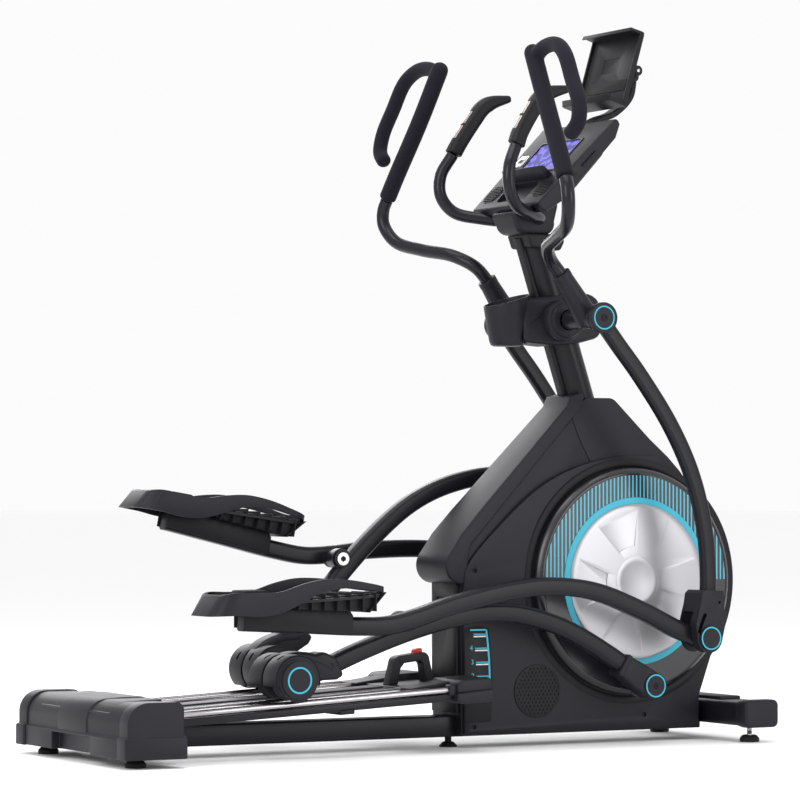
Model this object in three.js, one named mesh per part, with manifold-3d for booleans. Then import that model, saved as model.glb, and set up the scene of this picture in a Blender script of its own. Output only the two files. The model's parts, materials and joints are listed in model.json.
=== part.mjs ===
// Front-drive elliptical trainer. Millimetres, +X forward, +Y to the user's left, +Z up.
import * as THREE from 'three';
import { mergeVertices } from 'three/addons/utils/BufferGeometryUtils.js';
import Module from 'manifold-3d';

const wasm = await Module();
wasm.setup();

const GAP = 0.4;                       // air left between pieces that touch
const BOLT_R = 8;                      // knee bolt
const LIFT_SLACK = 5.2;                // room around the bolt as the pedal arm lifts with the incline
const RIGHT = -1;
const LEFT = 1;

// ---------- driving dimensions: the linkage, drawn in the side plane as [x, z] ----------
const HUB = [572, 394];                // crank axis
const CRANK = 251;                     // crank radius
const SWING = [388, 1029];             // axis of the swing arms
const ROLLER = [-420, 184];            // axis of the right rollers at rest
const HEEL = [-114, 310];              // hinge between roller arm and pedal arm
const KNEE = [676, 259];               // hinge between pedal arm and swing arm
const RAIL_SLOPE = 0.0546;             // rise of the rails per unit of length at level 1
const RAIL_R = 8.5;
const WHEEL_R = 48.3;

// distances of each layer from the middle plane
const SHELL_Y = 78;                    // outside of the drive housing
const DISC_Y = [80, 104];              // crank discs
const ARM_Y = 165;                     // middle of the roller arms
const RAILS_Y = [125, 205];            // inner and outer rail of each side
const PEDAL_Y = 225;                   // middle of the pedal arms
const BARREL_Y = [100, 255];           // swing arm barrels
const SWING_Y = 238;                   // middle of the swing arm tubes
const SLEEVE_Y = 180;                  // handlebar sockets
const ARM_W = 42;
const TUBE_H = 43;

const PIN = { [RIGHT]: [HUB[0], HUB[1] - CRANK], [LEFT]: [HUB[0], HUB[1] + CRANK] };

// ---------- materials ----------
function finish(color, roughness, metalness = 0) {
  return new THREE.MeshStandardMaterial({ color, roughness, metalness });
}
const MAT = {
  shell: finish('#26272c', 0.42),
  darkShell: finish('#17181c', 0.5),
  paint: finish('#1d1e22', 0.38, 0.3),
  tube: finish('#202126', 0.32, 0.35),
  chrome: finish('#c9c9cc', 0.14, 1),
  foam: finish('#1b1b20', 0.92),
  rubber: finish('#111113', 0.85),
  tyre: finish('#2a2a2d', 0.7),
  silver: finish('#b9b9bd', 0.35, 0.55),
  steel: finish('#8d8f93', 0.35, 0.9),
  iron: finish('#3a3b3e', 0.55, 0.8),
  screen: finish('#3438a8', 0.2),
  red: finish('#b3262c', 0.4),
  pulse: finish('#a89d95', 0.35, 0.8),
};

// ---------- solids ----------
function toSolid(geometry) {
  const bare = new THREE.BufferGeometry();
  bare.setAttribute('position', geometry.getAttribute('position').clone());
  if (geometry.index) bare.setIndex(geometry.index.clone());
  const merged = mergeVertices(bare, 1e-4);
  const solid = new wasm.Manifold(new wasm.Mesh({
    numProp: 3,
    vertProperties: new Float32Array(merged.getAttribute('position').array),
    triVerts: new Uint32Array(merged.index.array),
  }));
  return solid;
}

function fromSolid(solid) {
  const mesh = solid.getMesh();
  const geometry = new THREE.BufferGeometry();
  geometry.setAttribute('position', new THREE.BufferAttribute(new Float32Array(mesh.vertProperties), 3));
  geometry.setIndex(new THREE.BufferAttribute(new Uint32Array(mesh.triVerts), 1));
  const flat = geometry.toNonIndexed();
  flat.computeVertexNormals();
  return flat;
}

const union = (...list) => list.reduce((a, b) => a.add(b));
const without = (solid, ...cuts) => cuts.reduce((a, b) => a.subtract(b), solid);

function shapeOf(points, holes = []) {
  const shape = new THREE.Shape(points.map(([x, z]) => new THREE.Vector2(x, z)));
  for (const hole of holes) shape.holes.push(new THREE.Path(hole.map(([x, z]) => new THREE.Vector2(x, z))));
  return shape;
}

// A side outline [x, z] made solid between two distances from the middle plane.
function slab(points, y0, y1, holes = []) {
  const low = Math.min(y0, y1);
  const high = Math.max(y0, y1);
  const geometry = new THREE.ExtrudeGeometry(shapeOf(points, holes),
    { depth: high - low, bevelEnabled: false });
  geometry.rotateX(Math.PI / 2);
  geometry.translate(0, high, 0);
  return toSolid(geometry);
}

function drum([x, z], r, y0, y1, segments = 32, rEnd = r) {
  const geometry = new THREE.CylinderGeometry(rEnd, r, Math.abs(y1 - y0), segments);
  if (y1 < y0) geometry.rotateX(Math.PI);
  geometry.translate(x, (y0 + y1) / 2, z);
  return toSolid(geometry);
}

function box(x0, x1, y0, y1, z0, z1) {
  const geometry = new THREE.BoxGeometry(x1 - x0, Math.abs(y1 - y0), z1 - z0);
  geometry.translate((x0 + x1) / 2, (y0 + y1) / 2, (z0 + z1) / 2);
  return toSolid(geometry);
}

function post(x, y, z0, z1, r0, r1 = r0, segments = 16) {
  const geometry = new THREE.CylinderGeometry(r1, r0, z1 - z0, segments);
  geometry.rotateX(Math.PI / 2);
  geometry.translate(x, y, (z0 + z1) / 2);
  return toSolid(geometry);
}

function roundedSection(width, height, r, steps = 1) {
  const points = [];
  const corners = [[1, 1, 0], [-1, 1, 1], [-1, -1, 2], [1, -1, 3]];
  for (const [sw, sh, turn] of corners) {
    for (let i = 0; i <= steps; i++) {
      const a = (turn + i / steps) * Math.PI / 2;
      points.push([sw * (width / 2 - r) + r * Math.cos(a), sh * (height / 2 - r) + r * Math.sin(a)]);
    }
  }
  return points;
}

function roundSection(r, segments = 10) {
  return Array.from({ length: segments }, (_, i) => {
    const a = (i / segments) * 2 * Math.PI;
    return [r * Math.cos(a), r * Math.sin(a)];
  });
}

// Carries a convex section along a curve. A flat sweep keeps the section's first axis on Y.
function sweep(curve, section, stations, flat = true) {
  const frames = curve.computeFrenetFrames(stations);
  const position = [];
  const index = [];
  const n = section.length;
  for (let i = 0; i <= stations; i++) {
    const p = curve.getPointAt(i / stations);
    const t = curve.getTangentAt(i / stations);
    const a = flat ? new THREE.Vector3(0, 1, 0) : frames.normals[i];
    const b = new THREE.Vector3().crossVectors(t, a).normalize();
    for (const [u, v] of section) {
      position.push(p.x + a.x * u + b.x * v, p.y + a.y * u + b.y * v, p.z + a.z * u + b.z * v);
    }
  }
  for (let i = 0; i < stations; i++) {
    for (let j = 0; j < n; j++) {
      const k = (j + 1) % n;
      const [p, q, r, s] = [i * n + j, i * n + k, (i + 1) * n + j, (i + 1) * n + k];
      index.push(p, q, s, p, s, r);
    }
  }
  const last = stations * n;
  for (let j = 1; j < n - 1; j++) {
    index.push(0, j + 1, j);
    index.push(last, last + j, last + j + 1);
  }
  const geometry = new THREE.BufferGeometry();
  geometry.setAttribute('position', new THREE.Float32BufferAttribute(position, 3));
  geometry.setIndex(index);
  if (signedVolume(geometry) < 0) index.reverse();
  geometry.setIndex(index);
  return toSolid(geometry);
}

function signedVolume(geometry) {
  const p = geometry.getAttribute('position');
  const [a, b, c] = [new THREE.Vector3(), new THREE.Vector3(), new THREE.Vector3()];
  let volume = 0;
  for (let i = 0; i < geometry.index.count; i += 3) {
    a.fromBufferAttribute(p, geometry.index.getX(i));
    b.fromBufferAttribute(p, geometry.index.getX(i + 1));
    c.fromBufferAttribute(p, geometry.index.getX(i + 2));
    volume += a.dot(b.cross(c));
  }
  return volume;
}

function smooth(points) {
  return new THREE.CatmullRomCurve3(points.map(([x, y, z]) => new THREE.Vector3(x, y, z)), false,
    'centripetal');
}

const sideCurve = (points, y) => smooth(points.map(([x, z]) => [x, y, z]));

function arcPoints([x, z], r, from, to, steps) {
  return Array.from({ length: steps + 1 }, (_, i) => {
    const a = THREE.MathUtils.degToRad(from + (to - from) * i / steps);
    return [x + r * Math.cos(a), z + r * Math.sin(a)];
  });
}

// ---------- placing the left linkage from the right one ----------
const minus = (a, b) => [a[0] - b[0], a[1] - b[1]];
const length = (a) => Math.hypot(a[0], a[1]);
const angle = (a) => Math.atan2(a[1], a[0]);
const turned = ([x, z], a) => [x * Math.cos(a) - z * Math.sin(a), x * Math.sin(a) + z * Math.cos(a)];
const plus = (a, b) => [a[0] + b[0], a[1] + b[1]];

function railPointAt(distance, from) {
  let low = ROLLER[0] - 400;
  let high = from[0];
  for (let i = 0; i < 60; i++) {
    const x = (low + high) / 2;
    const z = ROLLER[1] + RAIL_SLOPE * (x - ROLLER[0]);
    if (Math.hypot(from[0] - x, from[1] - z) > distance) low = x;
    else high = x;
  }
  return [low, ROLLER[1] + RAIL_SLOPE * (low - ROLLER[0])];
}

function lowerCrossing(a, ra, b, rb) {
  const d = minus(b, a);
  const span = length(d);
  const cosine = (span * span + ra * ra - rb * rb) / (2 * span * ra);
  return plus(a, turned([ra, 0], angle(d) - Math.acos(cosine)));
}

const armSpan = minus(PIN[RIGHT], ROLLER);
const rollerLeft = railPointAt(length(armSpan), PIN[LEFT]);
const armTurn = angle(minus(PIN[LEFT], rollerLeft)) - angle(armSpan);
const heelLeft = plus(rollerLeft, turned(minus(HEEL, ROLLER), armTurn));
const pedalSpan = minus(KNEE, HEEL);
const kneeLeft = lowerCrossing(heelLeft, length(pedalSpan), SWING, length(minus(KNEE, SWING)));

// Each link as the right side draws it: the pivot it is carried by, where that pivot
// is on the left, and how far the link is turned there.
const LINK = {
  swing: { from: SWING, to: SWING, turn: angle(minus(kneeLeft, SWING)) - angle(minus(KNEE, SWING)) },
  knee: { from: KNEE, to: kneeLeft, turn: 0 },
  pedal: { from: HEEL, to: heelLeft, turn: angle(minus(kneeLeft, heelLeft)) - angle(pedalSpan) },
  roller: { from: ROLLER, to: rollerLeft, turn: armTurn },
};

const group = new THREE.Group();
group.name = 'elliptical_trainer';

function add(name, solid, material, parent = group) {
  const mesh = new THREE.Mesh(fromSolid(solid), material.clone());
  mesh.name = name;
  parent.add(mesh);
  return mesh;
}

function linkGroup(link, side) {
  const holder = new THREE.Group();
  if (side === LEFT) {
    const { from, to, turn } = LINK[link];
    const shift = minus(to, turned(from, turn));
    holder.rotation.y = -turn;
    holder.position.set(shift[0], 0, shift[1]);
  }
  group.add(holder);
  return holder;
}

const sideName = (side) => (side === RIGHT ? 'right' : 'left');

// ---------- base ----------
const BEAM = { x0: -800, x1: 776, half: 38, z0: 26, z1: 76 };
const REAR = { x0: -886, x1: -736, half: 311, z0: 22, z1: 148 };
const FRONT = { x: 836, wide: 84, half: 250, z0: 40, z1: 100 };

function outlineRear(inset) {
  const [x0, x1, z0, z1] = [REAR.x0 + inset, REAR.x1 - inset, REAR.z0, REAR.z1 - inset];
  return [
    [x0, z0], [x0, z0 + 46], [x0 + 8, z0 + 48],
    ...arcPoints([x0 + 52, z1 - 44], 44, 180, 90, 4),
    ...arcPoints([x1 - 20, z1 - 14], 14, 90, 0, 3),
    [x1 - 6, z0 + 50], [x1, z0 + 48], [x1, z0],
  ];
}

function buildBase() {
  add('main_frame', without(
    union(
      box(BEAM.x0, BEAM.x1, -BEAM.half, BEAM.half, BEAM.z0, BEAM.z1),
      box(-860, BEAM.x0 + 1, -285, 285, 34, BEAM.z1),
    ),
    box(BEAM.x0 + 30, BEAM.x1 + 1, -BEAM.half + 4, BEAM.half - 4, BEAM.z0 + 4, BEAM.z1 - 4),
  ), MAT.paint);

  const shell = without(
    slab(outlineRear(0), -REAR.half, REAR.half),
    slab(outlineRear(3.5).map(([x, z]) => [x, z === REAR.z0 ? z - 10 : z]), -REAR.half + 3.5,
      REAR.half - 3.5),
    box(REAR.x0 - 5, REAR.x0 + 14, -105, 105, REAR.z0 - 1, REAR.z0 + 40),
    box(REAR.x1 - 40, REAR.x1 + 5, -BEAM.half - 3, BEAM.half + 3, REAR.z0 - 5, BEAM.z1 + 5),
    box(REAR.x1 - 30, REAR.x1 + 5, -RAILS_Y[1] - 18, RAILS_Y[1] + 18, 80, 134),
  );
  const grabBar = slab([[-883, 44], [-878, 56], [-866, 58], [-866, 42], [-878, 40]], -106, 106);
  add('rear_cover', union(shell, grabBar), MAT.shell);

  const tube = box(FRONT.x - FRONT.wide / 2, FRONT.x + FRONT.wide / 2, -FRONT.half, FRONT.half, FRONT.z0,
    FRONT.z1);
  const cap = (side) => slab([
    [FRONT.x - 50, FRONT.z0 - 3], [FRONT.x + 50, FRONT.z0 - 3],
    ...arcPoints([FRONT.x + 38, FRONT.z1 - 8], 12, 0, 90, 2),
    ...arcPoints([FRONT.x - 38, FRONT.z1 - 8], 12, 90, 180, 2),
  ], side * (FRONT.half - 25), side * (FRONT.half + 12));
  add('front_stabilizer', union(tube, cap(RIGHT), cap(LEFT)), MAT.shell);
  buildFeet();
}

function foot(x, y, top) {
  return union(post(x, y, 0, 16, 24, 20), post(x, y, 14, top, 6, 6, 12));
}

function buildFeet() {
  for (const side of [RIGHT, LEFT]) {
    add(`rear_foot_${sideName(side)}`, foot(-832, side * 246, 34 - GAP), MAT.rubber);
    add(`front_foot_${sideName(side)}`, foot(FRONT.x, side * 205, FRONT.z0 - 3 - GAP), MAT.rubber);
  }
  add('middle_foot', union(post(104, 0, 0, 14, 22, 12), post(104, 0, 12, BEAM.z0 - GAP, 8)), MAT.rubber);
}

// ---------- drive housing ----------
const FLYWHEEL = { at: [262, 300], r: 128, y: [8, 40] };
const PULLEY = { r: 150, rSmall: 20, y: [-44, -30] };
const MAST_LEAN = -0.329;
const mastX = (z) => 482 + MAST_LEAN * (z - 840);

function housingOutline(inset) {
  const points = [
    [100, 30], [100, 440], [112, 478], [140, 510], [418, 788], [450, 828], [470, 842], [532, 842], [560, 822],
    [640, 740], [689, 697], [720, 664],
    ...arcPoints(HUB, 288, 50, -18, 9),
    [776, 110], [774, 30],
  ];
  if (!inset) return points;
  const n = points.length;
  return points.map((p, i) => {
    const before = minus(p, points[(i + n - 1) % n]);
    const after = minus(points[(i + 1) % n], p);
    const [ua, ub] = [before.map((v) => v / length(before)), after.map((v) => v / length(after))];
    const normal = [ua[1] + ub[1], -ua[0] - ub[0]];
    const scale = inset / Math.max(0.35, (length(normal) ** 2) / 2);
    const z = p[1] === 30 ? p[1] - 20 : p[1] - normal[1] * -scale;
    return [p[0] + normal[0] * scale, z];
  });
}

function taper() {
  const section = [[-SHELL_Y - 1, -5], [SHELL_Y + 1, -5], [SHELL_Y + 1, 640], [54, 850], [-54, 850],
    [-SHELL_Y - 1, 640]];
  const geometry = new THREE.ExtrudeGeometry(
    new THREE.Shape(section.map(([y, z]) => new THREE.Vector2(y, z))), { depth: 900, bevelEnabled: false });
  geometry.rotateX(Math.PI / 2);
  geometry.rotateZ(Math.PI / 2);
  return toSolid(geometry);
}

function buildHousing() {
  const skin = 3.5;
  const outer = slab(housingOutline(0), -SHELL_Y, SHELL_Y).intersect(taper());
  const inner = slab(housingOutline(skin), -SHELL_Y + skin,
    SHELL_Y - skin).intersect(taper().translate([0, 0, -6]));
  const shell = without(
    outer,
    inner,
    drum(HUB, 14, -90, 90),
    box(BEAM.x0, 130, -BEAM.half - 1, BEAM.half + 1, BEAM.z0 - 10, BEAM.z1 + 1),
    box(700, 850, -BEAM.half - 1, BEAM.half + 1, BEAM.z0 - 10, BEAM.z1 + 1),
    mast(4, 780, 900),
  );
  for (const side of [RIGHT, LEFT]) {
    const half = box(-900, 900, side * 0.2, side * 100, -50, 900);
    add(`housing_${sideName(side)}`, shell.intersect(half), MAT.shell);
  }
  buildSpine();
  for (const side of [RIGHT, LEFT]) {
    const face = side * (SHELL_Y + GAP);
    add(`grille_${sideName(side)}`, drum([306, 132], 66, face, face + side * 3, 24), MAT.darkShell);
  }
  const scale = [[112, 150], [150, 150], ...arcPoints([-740, 120], 902, 3, 9.6, 3), [118, 282]];
  add('level_scale', slab(scale, -SHELL_Y - GAP - 1.6, -SHELL_Y - GAP), MAT.darkShell);
}

// Band that runs over the rear edge of the two shells from the nose up to the mast.
function buildSpine() {
  const spine = [
    ...arcPoints([92, 436], 36, 290, 135, 4), [96, 505], [392, 806], [420, 838], [448, 846], [446, 836],
  ];
  const cut = slab(housingOutline(-GAP), -SHELL_Y - 5, SHELL_Y + 5);
  const solid = without(slab([...spine, [425, 770], [130, 470], [112, 404]], -50, 50), cut,
    mast(3, 780, 900));
  add('spine_cover', solid, MAT.darkShell);
}

function mast(extra, z0, z1) {
  const section = Array.from({ length: 16 }, (_, i) => {
    const a = (i / 16) * 2 * Math.PI;
    return [(29 + extra) * Math.cos(a), (38 + extra) * Math.sin(a)];
  });
  return sweep(smooth([[mastX(z0), 0, z0], [mastX((z0 + z1) / 2), 0, (z0 + z1) / 2], [mastX(z1), 0, z1]]),
    section, 2);
}

function buildDrive() {
  const plate = (side) => slab([
    [430, BEAM.z1 + GAP], [720, BEAM.z1 + GAP], [640, 394], [600, 640], [500, 640], [500, 394], [330, 330],
      [240, 340],
    [220, 270], [330, 250],
  ], side * 50, side * 57, [arcPoints(HUB, 10.6, 0, 330, 11).reverse()]);
  const frame = union(
    plate(RIGHT), plate(LEFT),
    box(430, 700, -51, 51, BEAM.z1 + GAP, BEAM.z1 + 8),
    box(502, 598, -51, 51, 600, 612),
    drum(FLYWHEEL.at, 8, -52, 52, 16),
  );
  add('drive_bracket', frame, MAT.iron);
  add('mast', without(mast(0, 634, 1236), drum(SWING, 13.4, -60, 60, 16)), MAT.paint);

  add('crank_axle', union(drum(HUB, 10, -79.6, 79.6, 16),
    drum(HUB, 26, PULLEY.y[0] - 4, PULLEY.y[0] - GAP, 16)), MAT.steel);
  add('drive_pulley', without(
    union(drum(HUB, PULLEY.r, ...PULLEY.y, 36)),
    drum(HUB, 10.6, -90, 90, 16),
    ...[0, 60, 120, 180, 240, 300].map((a) => drum(arcPoints(HUB, 90, a, a, 1)[0], 30, -90, 90, 10)),
  ), MAT.iron);
  const hole = drum(FLYWHEEL.at, 8.5, -90, 90, 16);
  add('flywheel', without(union(
    drum(FLYWHEEL.at, FLYWHEEL.r, ...FLYWHEEL.y, 40),
    drum(FLYWHEEL.at, PULLEY.rSmall, PULLEY.y[0], FLYWHEEL.y[0] + 1, 24),
  ), hole), MAT.steel);
  add('belt', belt(), MAT.rubber);
  const [fx, fz] = FLYWHEEL.at;
  add('brake', without(
    slab([...arcPoints([fx, fz], 150, 100, 160, 5), ...arcPoints([fx, fz], 112, 160, 100, 5)], -2, 49),
    drum(FLYWHEEL.at, FLYWHEEL.r + 4, FLYWHEEL.y[0] - 3, FLYWHEEL.y[1] + 3, 48),
  ), MAT.iron);
}

function belt() {
  const loop = (extra) => {
    const d = minus(HUB, FLYWHEEL.at);
    const lean = Math.acos((PULLEY.r - PULLEY.rSmall) / length(d));
    const middle = THREE.MathUtils.radToDeg(angle(d));
    const open = THREE.MathUtils.radToDeg(lean);
    return [
      ...arcPoints(HUB, PULLEY.r + extra, middle - 180 + open, middle + 180 - open, 24),
      ...arcPoints(FLYWHEEL.at, PULLEY.rSmall + extra, middle + 180 - open, middle + 180 + open, 8),
    ];
  };
  return slab(loop(3.2), PULLEY.y[0] + 1, PULLEY.y[1] - 1, [loop(0.8).reverse()]);
}

// ---------- cranks ----------
function buildCrank(side) {
  const [y0, y1] = DISC_Y;
  const pin = PIN[side];
  const disc = union(
    drum(HUB, 277, side * y0, side * (y0 + 14), 48),
    drum(HUB, 277, side * (y0 + 14), side * y1, 48, 270),
    drum(HUB, 190, side * (y1 - 1), side * (y1 + 7), 40, 188),
    drum(HUB, 40, side * y1, side * (y1 + 10), 24, 37),
    drum(pin, 15, side * (y1 - 1), side * 118, 16),
  );
  add(`crank_disc_${sideName(side)}`, disc, MAT.silver);
}

// ---------- roller arms ----------
const ARM_PATH = [
  [-340, 196], [-244, 236], [-91, 288], [46, 320], [126, 328], [211, 321], [312, 293], [380, 262],
    [469, 211], [560, 152],
];
const ARM_START = [-352, 190];

function armTube(extra, points = ARM_PATH, steps = 16) {
  return sweep(sideCurve(points, 0), roundedSection(ARM_W + extra, TUBE_H + extra, 13), steps);
}

function buildRollerArm(side) {
  const y = side * ARM_Y;
  const place = linkGroup('roller', side);
  const pin = PIN[RIGHT];
  const slope = angle(minus(pin, ARM_PATH[7]));
  const along = (d, up) => plus(pin, turned([d, up], slope));
  const joint = union(
    drum(pin, 32, side * 119, side * 186, 24),
    slab([along(0, 31), along(-44, 30), along(-96, 26), along(-96, -26), along(-44, -30), along(0, -31)],
      side * 138, side * 191),
    drum(pin, 25, side * 185, side * 191, 24),
  );
  const barrel = union(drum(HEEL, 21, side * 143, side * 202, 16),
    drum(HEEL, 12, side * 139, side * 144, 16));
  const arm = union(armTube(0).translate([0, y, 0]), joint, barrel);
  add(`roller_arm_${sideName(side)}`, arm, MAT.tube, place);
  add(`fender_${sideName(side)}`, fender(side), MAT.shell, place);

  const wheels = union(
    drum(ROLLER, WHEEL_R, side * (RAILS_Y[0] - 15), side * (RAILS_Y[0] + 15), 30),
    drum(ROLLER, WHEEL_R, side * (RAILS_Y[1] - 15), side * (RAILS_Y[1] + 15), 30),
    drum(ROLLER, 8, side * 100, side * 230, 16),
  );
  add(`rollers_${sideName(side)}`, wheels, MAT.tyre, place);
}

function fender(side) {
  const [inner, outer] = [95, 236];
  const ring = (r) => arcPoints(ROLLER, r, -12, 192, 12);
  const skin = slab([...ring(58), ...ring(52).reverse()], side * inner, side * outer);
  const cheeks = union(
    drum(ROLLER, 45, side * (outer - 2), side * 245, 28),
    drum(ROLLER, 57, side * (outer - 4), side * (outer - 1), 28, 56),
    slab(ring(57), side * inner, side * (inner + 4)),
  );
  const web = slab([...arcPoints(ROLLER, 54, 60, 120, 3), [-440, 150], [-400, 150]], side * 158, side * 172);
  const neck = slab([[-392, 226], [-322, 236], [-300, 226], [-284, 190], [-300, 182], [-364, 178],
    [-364, 212]], side * 138, side * 192);
  return without(
    union(skin, cheeks, web, neck),
    armTube(2 * GAP + 1.4, [ARM_START, ...ARM_PATH.slice(0, 4)], 8).translate([0, side * ARM_Y, 0]),
    drum(ROLLER, WHEEL_R + 2.2, side * (RAILS_Y[0] - 18), side * (RAILS_Y[0] + 18), 24),
    drum(ROLLER, WHEEL_R + 2.2, side * (RAILS_Y[1] - 18), side * (RAILS_Y[1] + 18), 24),
    drum(ROLLER, 8.5, side * 99, side * 231, 16),
  );
}

// ---------- pedal arms and pedals ----------
const PEDAL_PATH = [
  [-562, 320], [-410, 312], [-260, 304], [-180, 305], [-110, 320], [-21, 346], [143, 380], [258, 389],
    [378, 375], [513, 326],
  [612, 280], [664, 262],
];
const PEDAL_LEAN = -0.052;

function buildPedalArm(side) {
  const place = linkGroup('pedal', side);
  const y = side * PEDAL_Y;
  const tube = sweep(sideCurve(PEDAL_PATH, y), roundedSection(ARM_W, TUBE_H, 13), 20);
  const eye = drum(KNEE, 23, y - 21, y + 21, 28);
  const arm = without(
    union(tube, eye),
    drum(KNEE, BOLT_R + LIFT_SLACK, y - 40, y + 40, 20),
  );
  add(`pedal_arm_${sideName(side)}`, arm, MAT.tube, place);
  add(`pedal_${sideName(side)}`, pedal(side), MAT.shell, place);
}

const pedalZ = (x) => 342 + PEDAL_LEAN * (x + 400);

// Footplate: a boat-shaped tray with raised sides and a low heel.
function pedal(side) {
  const y = side * PEDAL_Y;
  const [heel, toe] = [-622, -212];
  const half = 74;
  const plan = (inset) => {
    const c = (x, v) => [x, v];
    return [
      c(heel + inset, -half * 0.62 + inset), c(heel + 30, -half + inset), c(heel + 140, -half + inset),
        c(toe - 90, -half + 6 + inset),
      c(toe - 30, -half + 16 + inset), c(toe - inset, -half + 34 + inset),
        c(toe - inset, half - 34 - inset), c(toe - 30, half - 16 - inset),
      c(toe - 90, half - 6 - inset), c(heel + 140, half - inset), c(heel + 30, half - inset),
        c(heel + inset, half * 0.62 - inset),
    ];
  };
  const upright = (inset, z0, z1) => {
    const geometry = new THREE.ExtrudeGeometry(
      new THREE.Shape(plan(inset).map(([x, v]) => new THREE.Vector2(x, v))),
        { depth: z1 - z0, bevelEnabled: false });
    geometry.translate(0, y, z0);
    return toSolid(geometry);
  };
  const rim = [
    [heel - 5, 340], [heel + 24, 384], [heel + 90, 387], [heel + 150, 392], [heel + 220, 414],
      [heel + 300, 415], [toe - 40, 402],
    [toe + 2, 392], [toe + 2, 376], [toe - 55, 338], [toe - 80, 332], [heel + 60, 340],
  ];
  const body = upright(0, 300, 440).intersect(slab(rim, y - 90, y + 90));
  const well = upright(6, pedalZ(-400) + 26, 460);
  const seat = slab([
    [-560, pedalZ(-560)], [-560, pedalZ(-560) + 8], [-290, pedalZ(-290) + 8], [-290, pedalZ(-290)],
  ], y - 24, y + 24);
  const clear = sweep(sideCurve(PEDAL_PATH.slice(0, 6), y),
    roundedSection(ARM_W + 2 * GAP, TUBE_H + 2 * GAP, 13), 8);
  return without(union(body.subtract(well), seat), clear);
}

// ---------- swing arms ----------
const SWING_PATH = [[392, 1022], [436, 968], [500, 892], [588, 770], [648, 652], [684, 520], [694, 400],
  [690, 330]];
const SLEEVE_TOP = [315, 1132];

function cone(from, to, y, r0, r1) {
  const a = new THREE.Vector3(from[0], y, from[1]);
  const b = new THREE.Vector3(to[0], y, to[1]);
  const geometry = new THREE.CylinderGeometry(r1, r0, a.distanceTo(b), 18);
  const turn = new THREE.Quaternion().setFromUnitVectors(new THREE.Vector3(0, 1, 0),
    b.clone().sub(a).normalize());
  geometry.applyQuaternion(turn);
  geometry.translate((a.x + b.x) / 2, y, (a.z + b.z) / 2);
  return toSolid(geometry);
}

function buildSwingArm(side) {
  const place = linkGroup('swing', side);
  const barrel = union(
    drum(SWING, 24, side * BARREL_Y[0], side * (BARREL_Y[1] - 6), 20),
    drum(SWING, 33, side * (BARREL_Y[1] - 14), side * BARREL_Y[1], 24),
  );
  const sleeve = cone(SWING, SLEEVE_TOP, side * SLEEVE_Y, 32, 21);
  const tube = sweep(sideCurve(SWING_PATH, side * SWING_Y), roundedSection(26, 38, 9), 14);
  const direction = minus(SLEEVE_TOP, SWING);
  const socket = cone(
    plus(SWING, direction.map((v) => v * 0.45)), plus(SWING, direction.map((v) => v * 1.05)),
      side * SLEEVE_Y, 17, 17);
  const axleHole = drum(SWING, 13.5, side * 90, side * (BARREL_Y[1] - 20), 16);
  add(`swing_arm_${sideName(side)}`, without(union(barrel, sleeve, tube), socket, axleHole), MAT.tube, place);
  add(`knee_cover_${sideName(side)}`, kneeCover(side), MAT.shell, place);
  buildHandlebar(side, place, direction);

  const pin = linkGroup('knee', side);
  const bolt = union(drum(KNEE, BOLT_R, side * 202, side * 276, 20),
    drum(KNEE, 25, side * 275.4, side * 281, 32));
  add(`knee_bolt_${sideName(side)}`, bolt, MAT.darkShell, pin);
}

function kneeCover(side) {
  const [inner, outer] = [197, 275];
  const [kx, kz] = KNEE;
  const [slotTop, slotHalf] = [65, 23.4];
  const cheek = [
    ...arcPoints(KNEE, 34, 200, 360, 8), [kx + 46, kz + 60], [kx + 40, kz + 112], [kx - 14, kz + 112],
      [kx - 26, kz + 84], [kx - 40, kz + 30],
  ];
  const body = slab(cheek, side * inner, side * outer);
  const slot = slab(
    [[kx - 60, kz - 60], [kx + 60, kz - 60], [kx + 60, kz + slotTop], [kx - 60, kz + slotTop]],
    side * (PEDAL_Y - slotHalf), side * (PEDAL_Y + slotHalf));
  const tube = sweep(sideCurve([...SWING_PATH.slice(0, -1), [690, 328]], side * SWING_Y),
    roundedSection(26 + 2 * GAP, 38 + 2 * GAP, 9), 14);
  return without(body, slot, tube, drum(KNEE, BOLT_R + GAP, side * 190, side * 300, 20));
}

function handlePoint([x, out, z], side) {
  return [x, side * out, z];
}

function buildHandlebar(side, place, direction) {
  const foot0 = plus(SWING, direction.map((v) => v * 0.5));
  const bar = [
    [foot0[0], SLEEVE_Y, foot0[1]], [SLEEVE_TOP[0], SLEEVE_Y, SLEEVE_TOP[1]], [283, 186, 1166],
      [246, 232, 1194],
    [212, 330, 1212], [184, 424, 1238], [168, 457, 1282], [166, 456, 1318], [168, 446, 1339],
  ];
  const tube = sweep(smooth(bar.map((p) => handlePoint(p, side))), roundSection(16), 22, false);
  add(`handlebar_${sideName(side)}`, tube, MAT.tube, place);

  const main = [[168.8, 442, 1345], [175, 405, 1402], [190, 318, 1530], [203, 228, 1672]];
  const loop = [
    [201, 246, 1644], [202, 290, 1664], [199, 350, 1664], [191, 402, 1636], [184, 448, 1572],
      [178, 488, 1512], [173, 492, 1468], [169, 462, 1440],
  ];
  const foam = union(
    sweep(smooth(main.map((p) => handlePoint(p, side))), roundSection(20), 8, false),
    sweep(smooth(loop.map((p) => handlePoint(p, side))), roundSection(18.5), 18, false),
  );
  add(`foam_grip_${sideName(side)}`, foam, MAT.foam, place);
}

// ---------- swing pivot shroud with bottle holder ----------
const CUP = { x: 268, r: 56, rBase: 44, z0: 966, z1: 1078 };

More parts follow.
